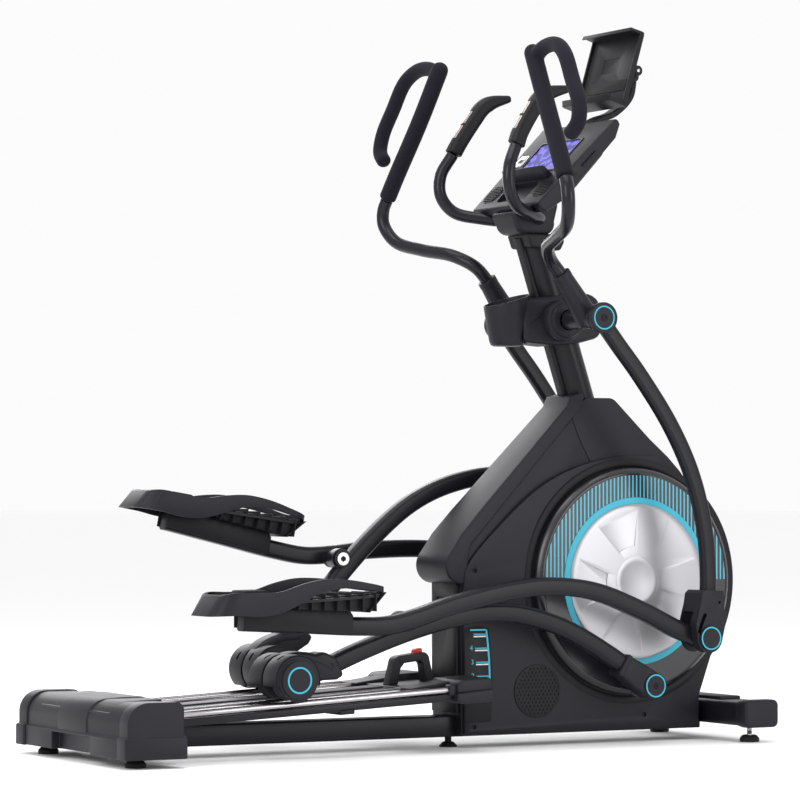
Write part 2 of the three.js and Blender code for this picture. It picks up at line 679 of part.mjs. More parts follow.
function buildShroud() {
  const body = slab([
    [300, 972], [500, 984], [506, 1010], [500, 1086], [470, 1098], [300, 1092],
  ], -58, 58);
  const collars = union(drum(SWING, 50, -88, 88, 28), drum(SWING, 40, -92, 92, 24));
  const cup = post(CUP.x, 0, CUP.z0, CUP.z1, CUP.rBase, CUP.r, 28);
  const bore = post(CUP.x, 0, CUP.z0 + 6, CUP.z1 + 60, CUP.rBase - 5, CUP.r + 1, 28);
  const shroud = without(union(body, collars, cup), bore, mast(GAP, 940, 1130),
    drum(SWING, 13.5, -120, 120, 16));
  add('pivot_shroud', shroud, MAT.shell);
  add('swing_axle', drum(SWING, 13, 21 - BARREL_Y[1], BARREL_Y[1] - 21, 16), MAT.steel);
}

// ---------- console ----------
const PANEL = { low: [262, 1306], high: [472, 1516], half: 172, thick: 50 };
const panelAlong = minus(PANEL.high, PANEL.low).map((v) => v / length(minus(PANEL.high, PANEL.low)));
const panelIn = [panelAlong[1], -panelAlong[0]];
const panelPoint = (u, depth) => plus(plus(PANEL.low, panelAlong.map((v) => v * u)),
  panelIn.map((v) => v * depth));
const PANEL_LENGTH = length(minus(PANEL.high, PANEL.low));

function buildConsole() {
  const outline = [
    panelPoint(0, 0), panelPoint(PANEL_LENGTH, 0), panelPoint(PANEL_LENGTH + 4, 16),
      panelPoint(PANEL_LENGTH - 30, 34),
    panelPoint(110, 56), panelPoint(70, 92), [352, 1240], [292, 1240], [266, 1262], [252, 1290],
  ];
  const wide = slab([
    panelPoint(0, 0), panelPoint(PANEL_LENGTH, 0), panelPoint(PANEL_LENGTH + 4, 16),
      panelPoint(PANEL_LENGTH - 30, 34),
    panelPoint(60, 44), panelPoint(6, 30),
  ], -PANEL.half, PANEL.half);
  const pod = slab(outline, -62, 62);
  const tray = slab([panelPoint(18, -1), panelPoint(78, -1), panelPoint(78, 10), panelPoint(18, 18)], -70,
    70);
  const window_ = slab([panelPoint(128, -1), panelPoint(232, -1), panelPoint(232, 4), panelPoint(128, 4)],
    -92, 92);
  const ledge = slab([panelPoint(96, 1), panelPoint(96, -26), panelPoint(104, -34), panelPoint(108, 1)],
    -96, 96);
  const keys = box(0, 600, 104, 104 + 44, 1200, 1600).intersect(
    slab([panelPoint(150, -1), panelPoint(194, -1), panelPoint(194, 8), panelPoint(150, 8)], -200, 200));
  const body = without(
    union(wide, pod, ledge), tray, window_, keys,
    mast(GAP, 1150, 1237), fixedBar(GAP + 0.6), tabletArm(4 * GAP),
  );
  add('console', body, MAT.shell);
  add('display', slab(
    [panelPoint(128.5, 0.5), panelPoint(231.5, 0.5), panelPoint(231.5, 3.6), panelPoint(128.5, 3.6)],
      -91.5, 91.5), MAT.screen);
  const key = slab([panelPoint(151, -3), panelPoint(193, -3), panelPoint(193, 4), panelPoint(151, 4)], 105,
    147);
  add('start_key', key, MAT.silver);
  add('tablet_arm', tabletArm(0), MAT.darkShell);
  buildTabletHolder();
}

const TABLET = { hinge: [618, 1652], low: [536, 1560], high: [588, 1738], half: 112 };

function tabletArm(extra) {
  const path = [panelPoint(PANEL_LENGTH - 40, 22), [508, 1521], [568, 1546], [612, 1588], [624, 1632]];
  return sweep(sideCurve(path, 0), roundedSection(44 + extra, 16 + extra, 5), 10);
}

function buildTabletHolder() {
  const along = minus(TABLET.high, TABLET.low);
  const unit = along.map((v) => v / length(along));
  const out = [-unit[1], unit[0]];
  const at = (u, d) => plus(plus(TABLET.low, unit.map((v) => v * u)), out.map((v) => v * d));
  const tall = length(along);
  const panel = slab([at(0, 0), at(tall, 0), at(tall, -7), at(0, -7)], -TABLET.half, TABLET.half);
  const top = slab([at(tall - 6, -7), at(tall, -7), at(tall + 2, 34), at(tall - 10, 36), at(tall - 6, 0)],
    -TABLET.half, TABLET.half);
  const low = slab([at(0, -7), at(6, 0), at(4, 40), at(14, 46), at(12, 50), at(-4, 44), at(-6, -7)],
    -TABLET.half, TABLET.half);
  const lug = slab([at(60, -6), at(104, -6), ...arcPoints(TABLET.hinge, 14, 60, -110, 6)], -34, 34);
  const slot = slab(arcPoints(TABLET.hinge, 24, 0, 340, 17), -23, 23);
  const arm = drum(TABLET.hinge, 9, -38, 38, 20);
  const holder = union(without(union(lug), slot), panel, top, low, arm);
  add('tablet_holder', holder, MAT.darkShell);
}

// ---------- fixed handlebar with pulse grips ----------
const FIXED = [[204, 154, 1442], [178, 168, 1390], [178, 168, 1340], [205, 152, 1300], [262, 118, 1284],
  [320, 70, 1276], [338, 0, 1274]];

function fixedBar(extra, steps = 28) {
  const right = FIXED.map((p) => handlePoint(p, RIGHT));
  const left = FIXED.slice(0, -1).map((p) => handlePoint(p, LEFT)).reverse();
  return sweep(smooth([...right, ...left]), roundSection(15 + extra), steps, false);
}

function buildFixedBar() {
  add('fixed_handlebar', fixedBar(0), MAT.tube);
  for (const side of [RIGHT, LEFT]) {
    const path = [[204.6, 153.6, 1443.2], [219, 147, 1472], [270, 140, 1550], [296, 139, 1572],
      [348, 140, 1582]];
    const grip = sweep(smooth(path.map((p) => handlePoint(p, side))), roundSection(18), 10, false);
    add(`pulse_grip_${sideName(side)}`, grip, MAT.pulse);
  }
}

// ---------- rail frame ----------
const RAIL_PIVOT = [-827, 104];
const railZ = (x) => 126.7 + RAIL_SLOPE * (x + 420);

function rod(x0, x1, y, r, lift = 0) {
  return sweep(smooth([[x0, y, railZ(x0) + lift], [(x0 + x1) / 2, y, railZ((x0 + x1) / 2) + lift],
    [x1, y, railZ(x1) + lift]]),
    roundSection(r, 12), 2);
}

function band(x0, x1, y0, y1, up, down) {
  return slab([[x0, railZ(x0) - down], [x1, railZ(x1) - down], [x1, railZ(x1) + up], [x0, railZ(x0) + up]],
    y0, y1);
}

function buildRailFrame() {
  const bars = [];
  for (const side of [RIGHT, LEFT]) {
    for (const y of RAILS_Y) bars.push(band(-716, 8, side * (y - 9), side * (y + 9), -RAIL_R - GAP, 26));
    bars.push(slab([
      [2, railZ(2) - 30], [2, railZ(2) + 12], [20, railZ(20) + 22], [92, railZ(92) + 22],
        [98, railZ(92) + 8], [98, railZ(98) - 34], [20, railZ(20) - 34],
    ], side * 86, side * 232));
  }
  const centre = band(-790, -10, -60, 60, 4, 26);
  const front = band(-70, 60, -100, 100, 6, 26);
  const rear = band(-790, -712, -216, 216, -6, 26);
  const trunnion = drum(RAIL_PIVOT, 11, -216, 216, 20);
  const lug = slab([[-827, 93], [-780, 84], [-780, 110], [-827, 115]], -60, 60);
  add('rail_frame', union(front, centre, rear, trunnion, lug, ...bars), MAT.paint);
  for (const side of [RIGHT, LEFT]) {
    add(`outer_rail_${sideName(side)}`, rod(-708, 0, side * RAILS_Y[1], RAIL_R), MAT.chrome);
    add(`inner_rail_${sideName(side)}`, rod(-708, 0, side * RAILS_Y[0], RAIL_R), MAT.chrome);
  }
  const z = (x) => railZ(x) + 6 + GAP;
  const handle = slab([
    [-64, z(-64)], [-52, 196], [-34, 222], [30, 230], [42, 222], [56, z(56)], [34, z(34)], [26, 206],
      [20, 210], [-26, 204], [-34, 192], [-40, z(-40)],
  ], -16, 16);
  const button = [[6, 226], [9, 236], [27, 238], [28, 228]];
  const well = [[4.5, 221], [6, 240], [31, 242], [30, 224]];
  add('lift_handle', without(handle, slab(well, -10, 10)), MAT.shell);
  add('release_button', slab(button, -9, 9), MAT.red);
}

buildBase();
buildHousing();
buildDrive();
buildCrank(RIGHT);
buildCrank(LEFT);
for (const side of [RIGHT, LEFT]) {
  buildRollerArm(side);
  buildPedalArm(side);
  buildSwingArm(side);
}
buildShroud();
buildConsole();
buildFixedBar();
buildRailFrame();

export default group;
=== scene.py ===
"""Front-drive elliptical trainer: the outer surfaces, finishes, light and camera.

Helpers take millimetres and leave meshes in metres, in the frame's own coordinates:
+X is forwards, +Y is the user's left and +Z is up.
"""
import json
import math
from contextlib import contextmanager

import bpy
from bpy.props import FloatProperty, FloatVectorProperty, IntProperty, PointerProperty
from bpy.types import Operator, Panel, PropertyGroup
from mathutils import Matrix, Vector


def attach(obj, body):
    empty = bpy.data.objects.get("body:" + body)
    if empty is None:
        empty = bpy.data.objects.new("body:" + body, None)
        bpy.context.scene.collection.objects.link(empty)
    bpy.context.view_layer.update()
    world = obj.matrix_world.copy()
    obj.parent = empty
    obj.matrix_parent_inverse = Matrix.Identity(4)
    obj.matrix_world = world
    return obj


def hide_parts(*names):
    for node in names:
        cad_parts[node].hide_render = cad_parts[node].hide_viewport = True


bl_info = {
    "name": "Elliptical Trainer",
    "version": (1, 0, 0),
    "blender": (4, 5, 0),
    "location": "View3D > Sidebar > Trainer",
    "description": "Builds a front-drive elliptical trainer around its packed frame",
    "category": "Add Mesh",
}

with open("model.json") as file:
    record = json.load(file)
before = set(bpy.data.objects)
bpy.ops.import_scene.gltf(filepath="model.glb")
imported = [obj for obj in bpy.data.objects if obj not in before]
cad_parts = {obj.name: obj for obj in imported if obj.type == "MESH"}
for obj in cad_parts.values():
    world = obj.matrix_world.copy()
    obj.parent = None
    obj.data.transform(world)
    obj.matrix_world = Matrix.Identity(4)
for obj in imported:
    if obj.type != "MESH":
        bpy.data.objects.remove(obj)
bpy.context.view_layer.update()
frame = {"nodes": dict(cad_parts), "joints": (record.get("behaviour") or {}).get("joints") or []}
MM = 0.001
SIDES = ("right", "left")

# ---------- places that the frame gives, as (x, z) in millimetres ----------
JOINT_AT = {j["name"]: (j["pos_m"][0] / MM, j["pos_m"][2] / MM) for j in frame["joints"] if j.get("pos_m")}
HUB = JOINT_AT["cranks_turn"]
SWING = JOINT_AT["stride"]
KNEE = JOINT_AT["knee_right"]
HEEL = JOINT_AT["heel_right"]
ROLLER = JOINT_AT["roll_right"]
RAIL_PIVOT = JOINT_AT["incline"]
TABLET_HINGE = JOINT_AT["tablet_tilt"]
CRANK = 251
PIN = (HUB[0], HUB[1] - CRANK)

# Distances from the middle plane.
SHELL_Y = 78
DISC_FACE_Y = 104
ARM_Y = 165
RAILS_Y = (125, 205)
PEDAL_Y = 225
SWING_Y = 238
SLEEVE_Y = 180
BARREL_END_Y = 255

ARM_W = 42
ARM_H = 43
RAIL_R = 8.5
WHEEL_R = 48.3
RAIL_SLOPE = 0.0546
RING_RISE = 1.2


# ---------- selecting and finishing ----------
def deselect():
    if bpy.context.object and bpy.context.object.mode != "OBJECT":
        bpy.ops.object.mode_set(mode="OBJECT")
    bpy.ops.object.select_all(action="DESELECT")


def pick(*pieces):
    deselect()
    for piece in pieces:
        piece.select_set(True)
    bpy.context.view_layer.objects.active = pieces[0]


@contextmanager
def editing(piece):
    """Edit mode on one piece, with all of it selected."""
    pick(piece)
    bpy.ops.object.mode_set(mode="EDIT")
    bpy.ops.mesh.select_all(action="SELECT")
    yield piece
    bpy.ops.object.mode_set(mode="OBJECT")


def named(name):
    piece = bpy.context.object
    piece.name = name
    piece.data.name = name
    return piece


def closed(piece, merge=1e-6):
    """Doubles merged, holes filled and faces turned outwards."""
    with editing(piece):
        bpy.ops.mesh.remove_doubles(threshold=merge)
        bpy.ops.mesh.dissolve_degenerate(threshold=merge)
        bpy.ops.mesh.fill_holes(sides=0)
        bpy.ops.mesh.select_all(action="SELECT")
        bpy.ops.mesh.normals_make_consistent(inside=False)
    return piece


def apply_modifier(piece, kind, **settings):
    pick(piece)
    modifier = piece.modifiers.new(kind.title(), kind)
    for key, value in settings.items():
        setattr(modifier, key, value)
    bpy.ops.object.modifier_apply(modifier=modifier.name)
    return piece


def bevelled(piece, width, segments=3, angle=30):
    """Rounds the sharp edges; the width is in millimetres."""
    return apply_modifier(
        piece, "BEVEL", width=width * MM, segments=segments, limit_method="ANGLE",
        angle_limit=math.radians(angle), miter_outer="MITER_ARC", harden_normals=False)


def cut(piece, *tools):
    for tool in tools:
        apply_modifier(piece, "BOOLEAN", operation="DIFFERENCE", solver="EXACT", object=tool)
        bpy.data.objects.remove(tool)
    return piece


def kept_inside(piece, tool):
    apply_modifier(piece, "BOOLEAN", operation="INTERSECT", solver="EXACT", object=tool)
    bpy.data.objects.remove(tool)
    return piece


def joined(first, *others):
    pick(first, *others)
    bpy.ops.object.join()
    return first


def painted(piece, finish):
    piece.data.materials.clear()
    piece.data.materials.append(finish)
    return piece


def smoothed(piece, angle=38):
    pick(piece)
    bpy.ops.object.shade_smooth_by_angle(angle=math.radians(angle))
    return piece


def seat(piece, body, slot, *nodes):
    """A finished piece rides on its body and stands for CAD nodes; the slot is not used."""
    smoothed(piece)
    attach(piece, body)
    if nodes:
        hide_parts(*nodes)
    return piece


def copied(piece, name, matrix):
    """A copy with its own mesh, carried by a matrix; a mirrored one is turned right side out."""
    pick(piece)
    bpy.ops.object.duplicate()
    copy = named(name)
    copy.data.transform(matrix)
    if matrix.determinant() < 0:
        copy.data.flip_normals()
    return copy


# ---------- the left side, from the right one ----------
MIRROR = Matrix.Scale(-1, 4, (0, 1, 0))
LINKS = {
    "swing": ("stride", "knee"),
    "pedal_link": ("heel", "knee"),
    "roller_link": ("roll", "heel"),
    "wheels": ("roll", "heel"),
    "knee": ("knee", None),
}


def side_joint(stem, side):
    return JOINT_AT.get(f"{stem}_{side}", JOINT_AT.get(stem))


def heading(start, end):
    return math.atan2(end[1] - start[1], end[0] - start[0])


def left_place(link):
    """Carries the right-hand shape of a link to where it stands on the left."""
    if link not in LINKS:
        return MIRROR
    first, second = LINKS[link]
    start = side_joint(first, "right") if first != "stride" else SWING
    goal = side_joint(first, "left") if first != "stride" else SWING
    turn = 0
    if second:
        turn = heading(goal, side_joint(second, "left")) - heading(start, side_joint(second, "right"))
    away = Matrix.Translation((-start[0] * MM, 0, -start[1] * MM))
    back = Matrix.Translation((goal[0] * MM, 0, goal[1] * MM))
    return back @ Matrix.Rotation(-turn, 4, "Y") @ away @ MIRROR


def both(piece, stem, body, slot, node=None):
    """Seats the right-hand piece and its left-hand twin; returns the two."""
    link = body if body in LINKS else None
    twin = copied(piece, f"{stem}_left", left_place(link))
    piece.name = f"{stem}_right"
    pair = []
    for side, half in zip(SIDES, (piece, twin)):
        rides = f"{body}_{side}" if link else body
        nodes = (f"{node}_{side}",) if node else ()
        pair.append(seat(half, rides, slot, *nodes))
    return pair


# ---------- outlines and paths ----------
def arc(centre, r, start, end, steps):
    angles = [math.radians(start + (end - start) * i / steps) for i in range(steps + 1)]
    return [(centre[0] + r * math.cos(a), centre[1] + r * math.sin(a)) for a in angles]


def rounded_box(width, height, r, steps=6):
    """A rectangle with round corners about the origin."""
    points = []
    for turn, (sw, sh) in enumerate(((1, 1), (-1, 1), (-1, -1), (1, -1))):
        centre = (sw * (width / 2 - r), sh * (height / 2 - r))
        points += arc(centre, r, turn * 90, turn * 90 + 90, steps)
    return points


def circle(r, segments=28):
    return arc((0, 0), r, 0, 360 - 360 / segments, segments - 1)


def moved(points, dx, dz):
    return [(x + dx, z + dz) for x, z in points]


def clamped(share):
    return max(0.0, min(1.0, share))


def curve_through(points, per_span=14):
    """A smooth centripetal curve through points of any dimension."""
    points = [Vector(p) for p in points]
    ends = [points[0] * 2 - points[1], *points, points[-1] * 2 - points[-2]]
    out = [points[0]]
    for p0, p1, p2, p3 in zip(ends, ends[1:], ends[2:], ends[3:]):
        d0, d1, d2 = (max((b - a).length, 1e-6) ** 0.5 for a, b in ((p0, p1), (p1, p2), (p2, p3)))
        m1 = ((p1 - p0) / d0 - (p2 - p0) / (d0 + d1) + (p2 - p1) / d1) * d1
        m2 = ((p2 - p1) / d1 - (p3 - p1) / (d1 + d2) + (p3 - p2) / d2) * d1
        for i in range(1, per_span + 1):
            t = i / per_span
            out.append(
                p1 * (2 * t**3 - 3 * t**2 + 1) + m1 * (t**3 - 2 * t**2 + t)
                + p2 * (3 * t**2 - 2 * t**3) + m2 * (t**3 - t**2))
    return out


def side_path(points, y):
    return [(x, y, z) for x, z in points]


class Route:
    """A path measured by distance, with a steady pair of cross axes."""

    def __init__(self, points, flat):
        self.points = [Vector(p) for p in points]
        self.at = [0.0]
        for a, b in zip(self.points, self.points[1:]):
            self.at.append(self.at[-1] + (b - a).length)
        self.length = self.at[-1]
        self.flat = flat
        self.across = Vector((0, 1, 0))

    def station(self, distance):
        distance = min(max(distance, 0), self.length)
        i = 0
        while i < len(self.at) - 2 and self.at[i + 1] < distance:
            i += 1
        span = self.at[i + 1] - self.at[i]
        point = self.points[i].lerp(self.points[i + 1], (distance - self.at[i]) / span)
        low = self.points[max(i - 1, 0)]
        high = self.points[min(i + 2, len(self.points) - 1)]
        tangent = (high - low).normalized()
        if not self.flat:
            self.across = (self.across - tangent * self.across.dot(tangent)).normalized()
        return point, self.across, tangent.cross(self.across).normalized()


# ---------- shapes ----------
def sweep(name, points, section, step=7, cap=2, cap_end=None, flat=True, widen=None, raw=False):
    """Carries a section (across, up) along a path, with ends rounded by cap millimetres.

    widen gives the two scales of the section at each share of the length.
    """
    route = Route(points if raw else curve_through(points), flat)
    reach = min(max(abs(u) for u, _ in section), max(abs(v) for _, v in section))
    rounds = [math.radians(a) for a in (8, 25, 45, 65, 90)]
    cap_end = cap if cap_end is None else cap_end
    stations = [(cap * (1 - math.cos(a)), 1 - cap * (1 - math.sin(a)) / reach) for a in rounds]
    inner = route.length - cap - cap_end
    count = max(2, round(inner / step))
    stations += [(cap + inner * i / count, 1) for i in range(1, count)]
    stations += [
        (route.length - cap_end * (1 - math.cos(a)), 1 - cap_end * (1 - math.sin(a)) / reach)
        for a in reversed(rounds)]
    deselect()
    bpy.ops.mesh.primitive_grid_add(x_subdivisions=len(section), y_subdivisions=len(stations) - 1)
    piece = named(name)
    row = len(section) + 1
    for i, (distance, scale) in enumerate(stations):
        point, across, up = route.station(distance)
        wide, tall = widen(distance / route.length) if widen else (1, 1)
        for j in range(row):
            u, v = section[j % len(section)]
            place = point + across * (u * scale * wide) + up * (v * scale * tall)
            piece.data.vertices[i * row + j].co = place * MM
    return closed(piece)


def pipe(name, points, r, **options):
    return sweep(name, points, circle(r), flat=False, **options)


def side_of(a, b, c):
    return (a, c, b)


def forward_of(a, b, c):
    return (c, a, b)


def plate(name, outline, low, high, place=side_of):
    """An outline made solid between two depths; place turns (a, b, depth) into x, y and z."""
    deselect()
    bpy.ops.mesh.primitive_circle_add(vertices=len(outline), fill_type="NGON")
    piece = named(name)
    for vertex, (a, b) in zip(piece.data.vertices, outline):
        vertex.co = Vector(place(a, b, low)) * MM
    depth = (Vector(place(0, 0, high)) - Vector(place(0, 0, low))) * MM
    with editing(piece):
        bpy.ops.mesh.extrude_region_move(TRANSFORM_OT_translate={"value": depth})
        bpy.ops.mesh.select_all(action="SELECT")
        bpy.ops.mesh.normals_make_consistent(inside=False)
    return piece


def turned(name, profile, centre, steps=72, axis="Y"):
    """A profile of (radius, distance along the axis) spun about an axis through centre."""
    x, z = centre
    deselect()
    bpy.ops.mesh.primitive_circle_add(vertices=len(profile), fill_type="NOTHING")
    piece = named(name)
    for vertex, (r, d) in zip(piece.data.vertices, profile):
        place = (x + r, d, z) if axis == "Y" else (x + r, z, d)
        vertex.co = Vector(place) * MM
    middle = (x * MM, 0, z * MM) if axis == "Y" else (x * MM, z * MM, 0)
    with editing(piece):
        bpy.ops.mesh.spin(
            steps=steps, angle=2 * math.pi, center=middle, axis=(0, 1, 0) if axis == "Y" else (0, 0, 1))
    return closed(piece)


def disc_profile(r, low, high, edge=1.5):
    """A plain disc or drum with a rounded outer edge at its high end."""
    turn = 1 if high > low else -1
    return [
        (0, low), (r - 0.4, low), (r, low + 0.4 * turn), (r, high - edge * turn),
        (r - edge * 0.3, high - edge * 0.3 * turn), (r - edge, high), (0, high)]


def drum(name, centre, r, low, high, edge=1.5, steps=64, axis="Y"):
    return turned(name, disc_profile(r, low, high, edge), centre, steps, axis)


# ---------- materials ----------
class Wire:
    """A node output that arithmetic can be done on."""

    def __init__(self, maker, socket):
        self.maker = maker
        self.socket = socket

    def _with(self, operation, first, second):
        return self.maker.node("Math", {"operation": operation}, {0: first, 1: second})

    def __add__(self, other):
        return self._with("ADD", self, other)

    def __sub__(self, other):
        return self._with("SUBTRACT", self, other)

    def __rsub__(self, other):
        return self._with("SUBTRACT", other, self)

    def __mul__(self, other):
        return self._with("MULTIPLY", self, other)

    def __gt__(self, other):
        return self._with("GREATER_THAN", self, other)

    def __lt__(self, other):
        return self._with("LESS_THAN", self, other)

    def __mod__(self, other):
        return self._with("FLOORED_MODULO", self, other)

    def __pow__(self, other):
        return self._with("POWER", self, other)

    __radd__ = __add__
    __rmul__ = __mul__


class Finish:
    """A material and the one method that adds its nodes."""

    def __init__(self, name, **shader):
        self.material = bpy.data.materials.new(name)
        self.material.use_nodes = True
        self.tree = self.material.node_tree
        self.shader = self.tree.nodes["Principled BSDF"]
        for key, value in shader.items():
            self.set(key.replace("_", " "), value)

    def set(self, name, value):
        socket = self.shader.inputs[name]
        if isinstance(value, Wire):
            self.tree.links.new(value.socket, socket)
        else:
            socket.default_value = value

    def node(self, kind, settings=None, inputs=None, output=0):
        """Adds a node, sets it, links its inputs and gives one output."""
        node = self.tree.nodes.new(f"ShaderNode{kind}")
        for key, value in (settings or {}).items():
            if key == "stops":
                ramp = node.color_ramp
                for element, (at, tone) in zip(ramp.elements, value):
                    element.position = at
                    element.color = (tone, tone, tone, 1)
            else:
                setattr(node, key, value)
        for key, value in (inputs or {}).items():
            if isinstance(value, Wire):
                self.tree.links.new(value.socket, node.inputs[key])
            else:
                node.inputs[key].default_value = value
        return Wire(self, node.outputs[output])

    def place(self):
        return self.node("TexCoord", output="Object")

    def noise(self, scale, detail=2.0, vector=None):
        inputs = {"Vector": vector or self.place(), "Scale": scale, "Detail": detail}
        return self.node("TexNoise", {}, inputs, "Fac")

    def blend(self, share, first, second):
        """Mixes two colours by a share."""
        inputs = {0: share, 6: first, 7: second}
        return self.node("Mix", {"data_type": "RGBA"}, inputs, 2)

    def bump(self, height, strength, distance):
        inputs = {"Height": height, "Strength": strength, "Distance": distance}
        return self.node("Bump", {}, inputs, "Normal")


def tone(colour, factor):
    return (*(min(1.0, c * factor) for c in colour[:3]), 1.0)


DARK_SPECULAR = 0.18


def grained(name, colour, rough, grain=900, depth=0.00006, strength=0.35, spread=0.25, patch=9, **shader):
    """A moulded or coated surface: fine grain, slow patches of tone and of gloss."""
    finish = Finish(name, **{"Specular_IOR_Level": DARK_SPECULAR, **shader})
    slow = finish.noise(patch, 3.0)
    fine = finish.noise(grain, 2.0)
    finish.set("Base Color", finish.blend(slow, tone(colour, 1 - spread), tone(colour, 1 + spread)))
    finish.set("Roughness", rough - 0.07 + slow * 0.10 + fine * 0.04)
    finish.set("Normal", finish.bump(fine, strength, depth))
    return finish.material


def moulded_charcoal(colours):
    return grained("moulded_charcoal", colours.shell, 0.46, 1100, 0.00008, 0.3)


def matt_black_plastic(colours):
    return grained("matt_black_plastic", colours.trim, 0.50, 900, 0.0001, 0.35)


def powder_coat(colours):
    return grained("powder_coat", colours.coat, 0.34, 600, 0.00007, 0.3, 0.15)


def glossy_tube(colours):
    return grained("glossy_tube_paint", colours.tube, 0.32, 400, 0.00003, 0.2, 0.1, 6, Coat_Weight=0.12)


def grip_foam(colours):
    """Closed-cell foam: pores and a soft felted look."""
    finish = Finish("grip_foam", Sheen_Weight=0.03, Sheen_Roughness=0.5, Specular_IOR_Level=0.12)
    place = finish.place()
    cells = finish.node("TexVoronoi", {}, {"Vector": place, "Scale": 700.0}, "Distance")
    slow = finish.noise(14, 3.0)
    finish.set("Base Color", finish.blend(slow, tone(colours.foam, 0.75), tone(colours.foam, 1.25)))
    finish.set("Roughness", 0.82 + slow * 0.12)
    finish.set("Normal", finish.bump(cells + finish.noise(1500) * 0.4, 0.5, 0.00025))
    return finish.material


def rubber_black(_colours):
    return grained("foot_rubber", (0.012, 0.012, 0.012), 0.72, 500, 0.0002, 0.5)


def wheel_urethane(_colours):
    return grained("wheel_urethane", (0.020, 0.020, 0.023), 0.50, 400, 0.00015, 0.4)


def cyan_ring(colours):
    return grained("cyan_ring_enamel", colours.accent, 0.38, 900, 0.00004, 0.2, 0.04)


def silver_cover(colours):
    """Silver lacquer: fine metal flake and a faint cloud of tone."""
    finish = Finish("silver_lacquer", Metallic=0.72, Coat_Weight=0.25, Coat_Roughness=0.2)
    slow = finish.noise(7, 2.0)
    flake = finish.noise(2400, 1.0)
    finish.set("Base Color", finish.blend(slow, tone(colours.silver, 0.94), tone(colours.silver, 1.05)))
    finish.set("Roughness", 0.31 + slow * 0.05 + flake * 0.06)
    finish.set("Normal", finish.bump(flake, 0.12, 0.00004))
    return finish.material


def chrome_plate(_colours):
    """Chromed rod with faint marks drawn along it by the rollers."""
    finish = Finish("chrome_plate", Metallic=1.0)
    stretch = finish.node("Mapping", {}, {"Vector": finish.place(), "Scale": (2, 500, 500)})
    marks = finish.noise(1.0, 3.0, stretch)
    finish.set("Base Color", finish.blend(marks, (0.26, 0.25, 0.26, 1), (0.44, 0.42, 0.43, 1)))
    finish.set("Roughness", 0.20 + marks * 0.12)
    finish.set("Normal", finish.bump(marks, 0.08, 0.00003))
    return finish.material


def turned_steel(name, colour, rough, coarse):
    """Bare metal with fine machining lines around a Y axis."""
    finish = Finish(name, Metallic=0.95)
    stretch = finish.node("Mapping", {}, {"Vector": finish.place(), "Scale": (60, 900, 60)})
    lines = finish.noise(1.0, 4.0, stretch)
    finish.set("Base Color", finish.blend(lines, tone(colour, 0.8), tone(colour, 1.15)))
    finish.set("Roughness", rough + lines * 0.14)
    finish.set("Normal", finish.bump(lines, 0.2, coarse))
    return finish.material


def turned_bright(_colours):
    return turned_steel("turned_steel", (0.48, 0.47, 0.46), 0.26, 0.00005)


def bare_iron(_colours):
    return turned_steel("bare_iron", (0.10, 0.10, 0.105), 0.48, 0.0002)


def pulse_steel(_colours):
    return turned_steel("pulse_plate_steel", (0.50, 0.45, 0.41), 0.24, 0.00003)


def red_plastic(_colours):
    return grained("release_red", (0.42, 0.015, 0.02), 0.32, 800, 0.00004, 0.2, 0.08)


def white_print(_colours):
    return grained("white_print", (0.62, 0.63, 0.66), 0.45, 900, 0.00002, 0.1, 0.05)


def striped_disc(settings, colours):
    """Satin black with upright printed stripes on the upper half of the face."""
    finish = Finish("striped_disc")
    split = finish.node("SeparateXYZ", {}, {"Vector": finish.place()}, 0)
    height = Wire(finish, split.socket.node.outputs["Z"])
    dx = split - HUB[0] * MM
    dz = height - HUB[1] * MM
    radius = (dx * dx + dz * dz) ** 0.5
    pitch = settings.stripe_pitch
    stripe = (split % pitch) < settings.stripe_width
    band = (radius > settings.stripe_inner) * (radius < settings.stripe_outer)
    mask = stripe * band * (dz > 0.002)
    slow = finish.noise(8, 3.0)
    black = finish.blend(slow, tone(colours.coat, 0.9), tone(colours.coat, 1.5))
    finish.set("Base Color", finish.blend(mask, black, tone(colours.accent, 1.0)))
    finish.set("Roughness", 0.24 + slow * 0.06 + mask * 0.1)
    finish.set("Normal", finish.bump(finish.noise(900), 0.15, 0.00004))
    return finish.material


def lcd_glow(_colours):
    """Backlit display: rows and columns of dots on a violet-blue ground."""
    finish = Finish("lcd_glow", Roughness=0.35, Specular_IOR_Level=0.05, Emission_Strength=0.35)
    place = finish.place()
    split = finish.node("SeparateXYZ", {}, {"Vector": place}, 1)
    along = Wire(finish, split.socket.node.outputs["Z"])
    column = (split % 0.0046) < 0.0034
    line = (along % 0.0034) < 0.0024
    blocks = finish.noise(46, 0.0) > 0.50
    dots = column * line * blocks
    glow = finish.blend(dots, (0.012, 0.012, 0.16, 1), (0.14, 0.13, 0.60, 1))
    finish.set("Base Color", glow)
    finish.set("Emission Color", glow)
    return finish.material


def smoked_window(_colours):
    return grained("smoked_window", (0.006, 0.006, 0.008), 0.45, 300, 0.00001, 0.05, 0.05, 6)


def pale_floor(colours):
    return grained("studio_floor", colours.floor, 0.85, 40, 0.0002, 0.05, 0.005, 0.6,
        Specular_IOR_Level=0.1)


MAKERS = {
    "shell": moulded_charcoal,
    "trim": matt_black_plastic,
    "coat": powder_coat,
    "tube": glossy_tube,
    "foam": grip_foam,
    "rubber": rubber_black,
    "urethane": wheel_urethane,
    "cyan": cyan_ring,
    "silver": silver_cover,
    "chrome": chrome_plate,
    "steel": turned_bright,
    "iron": bare_iron,
    "pulse": pulse_steel,
    "red": red_plastic,
    "print": white_print,
    "lcd": lcd_glow,
    "window": smoked_window,
    "floor": pale_floor,
}
_finishes = {}


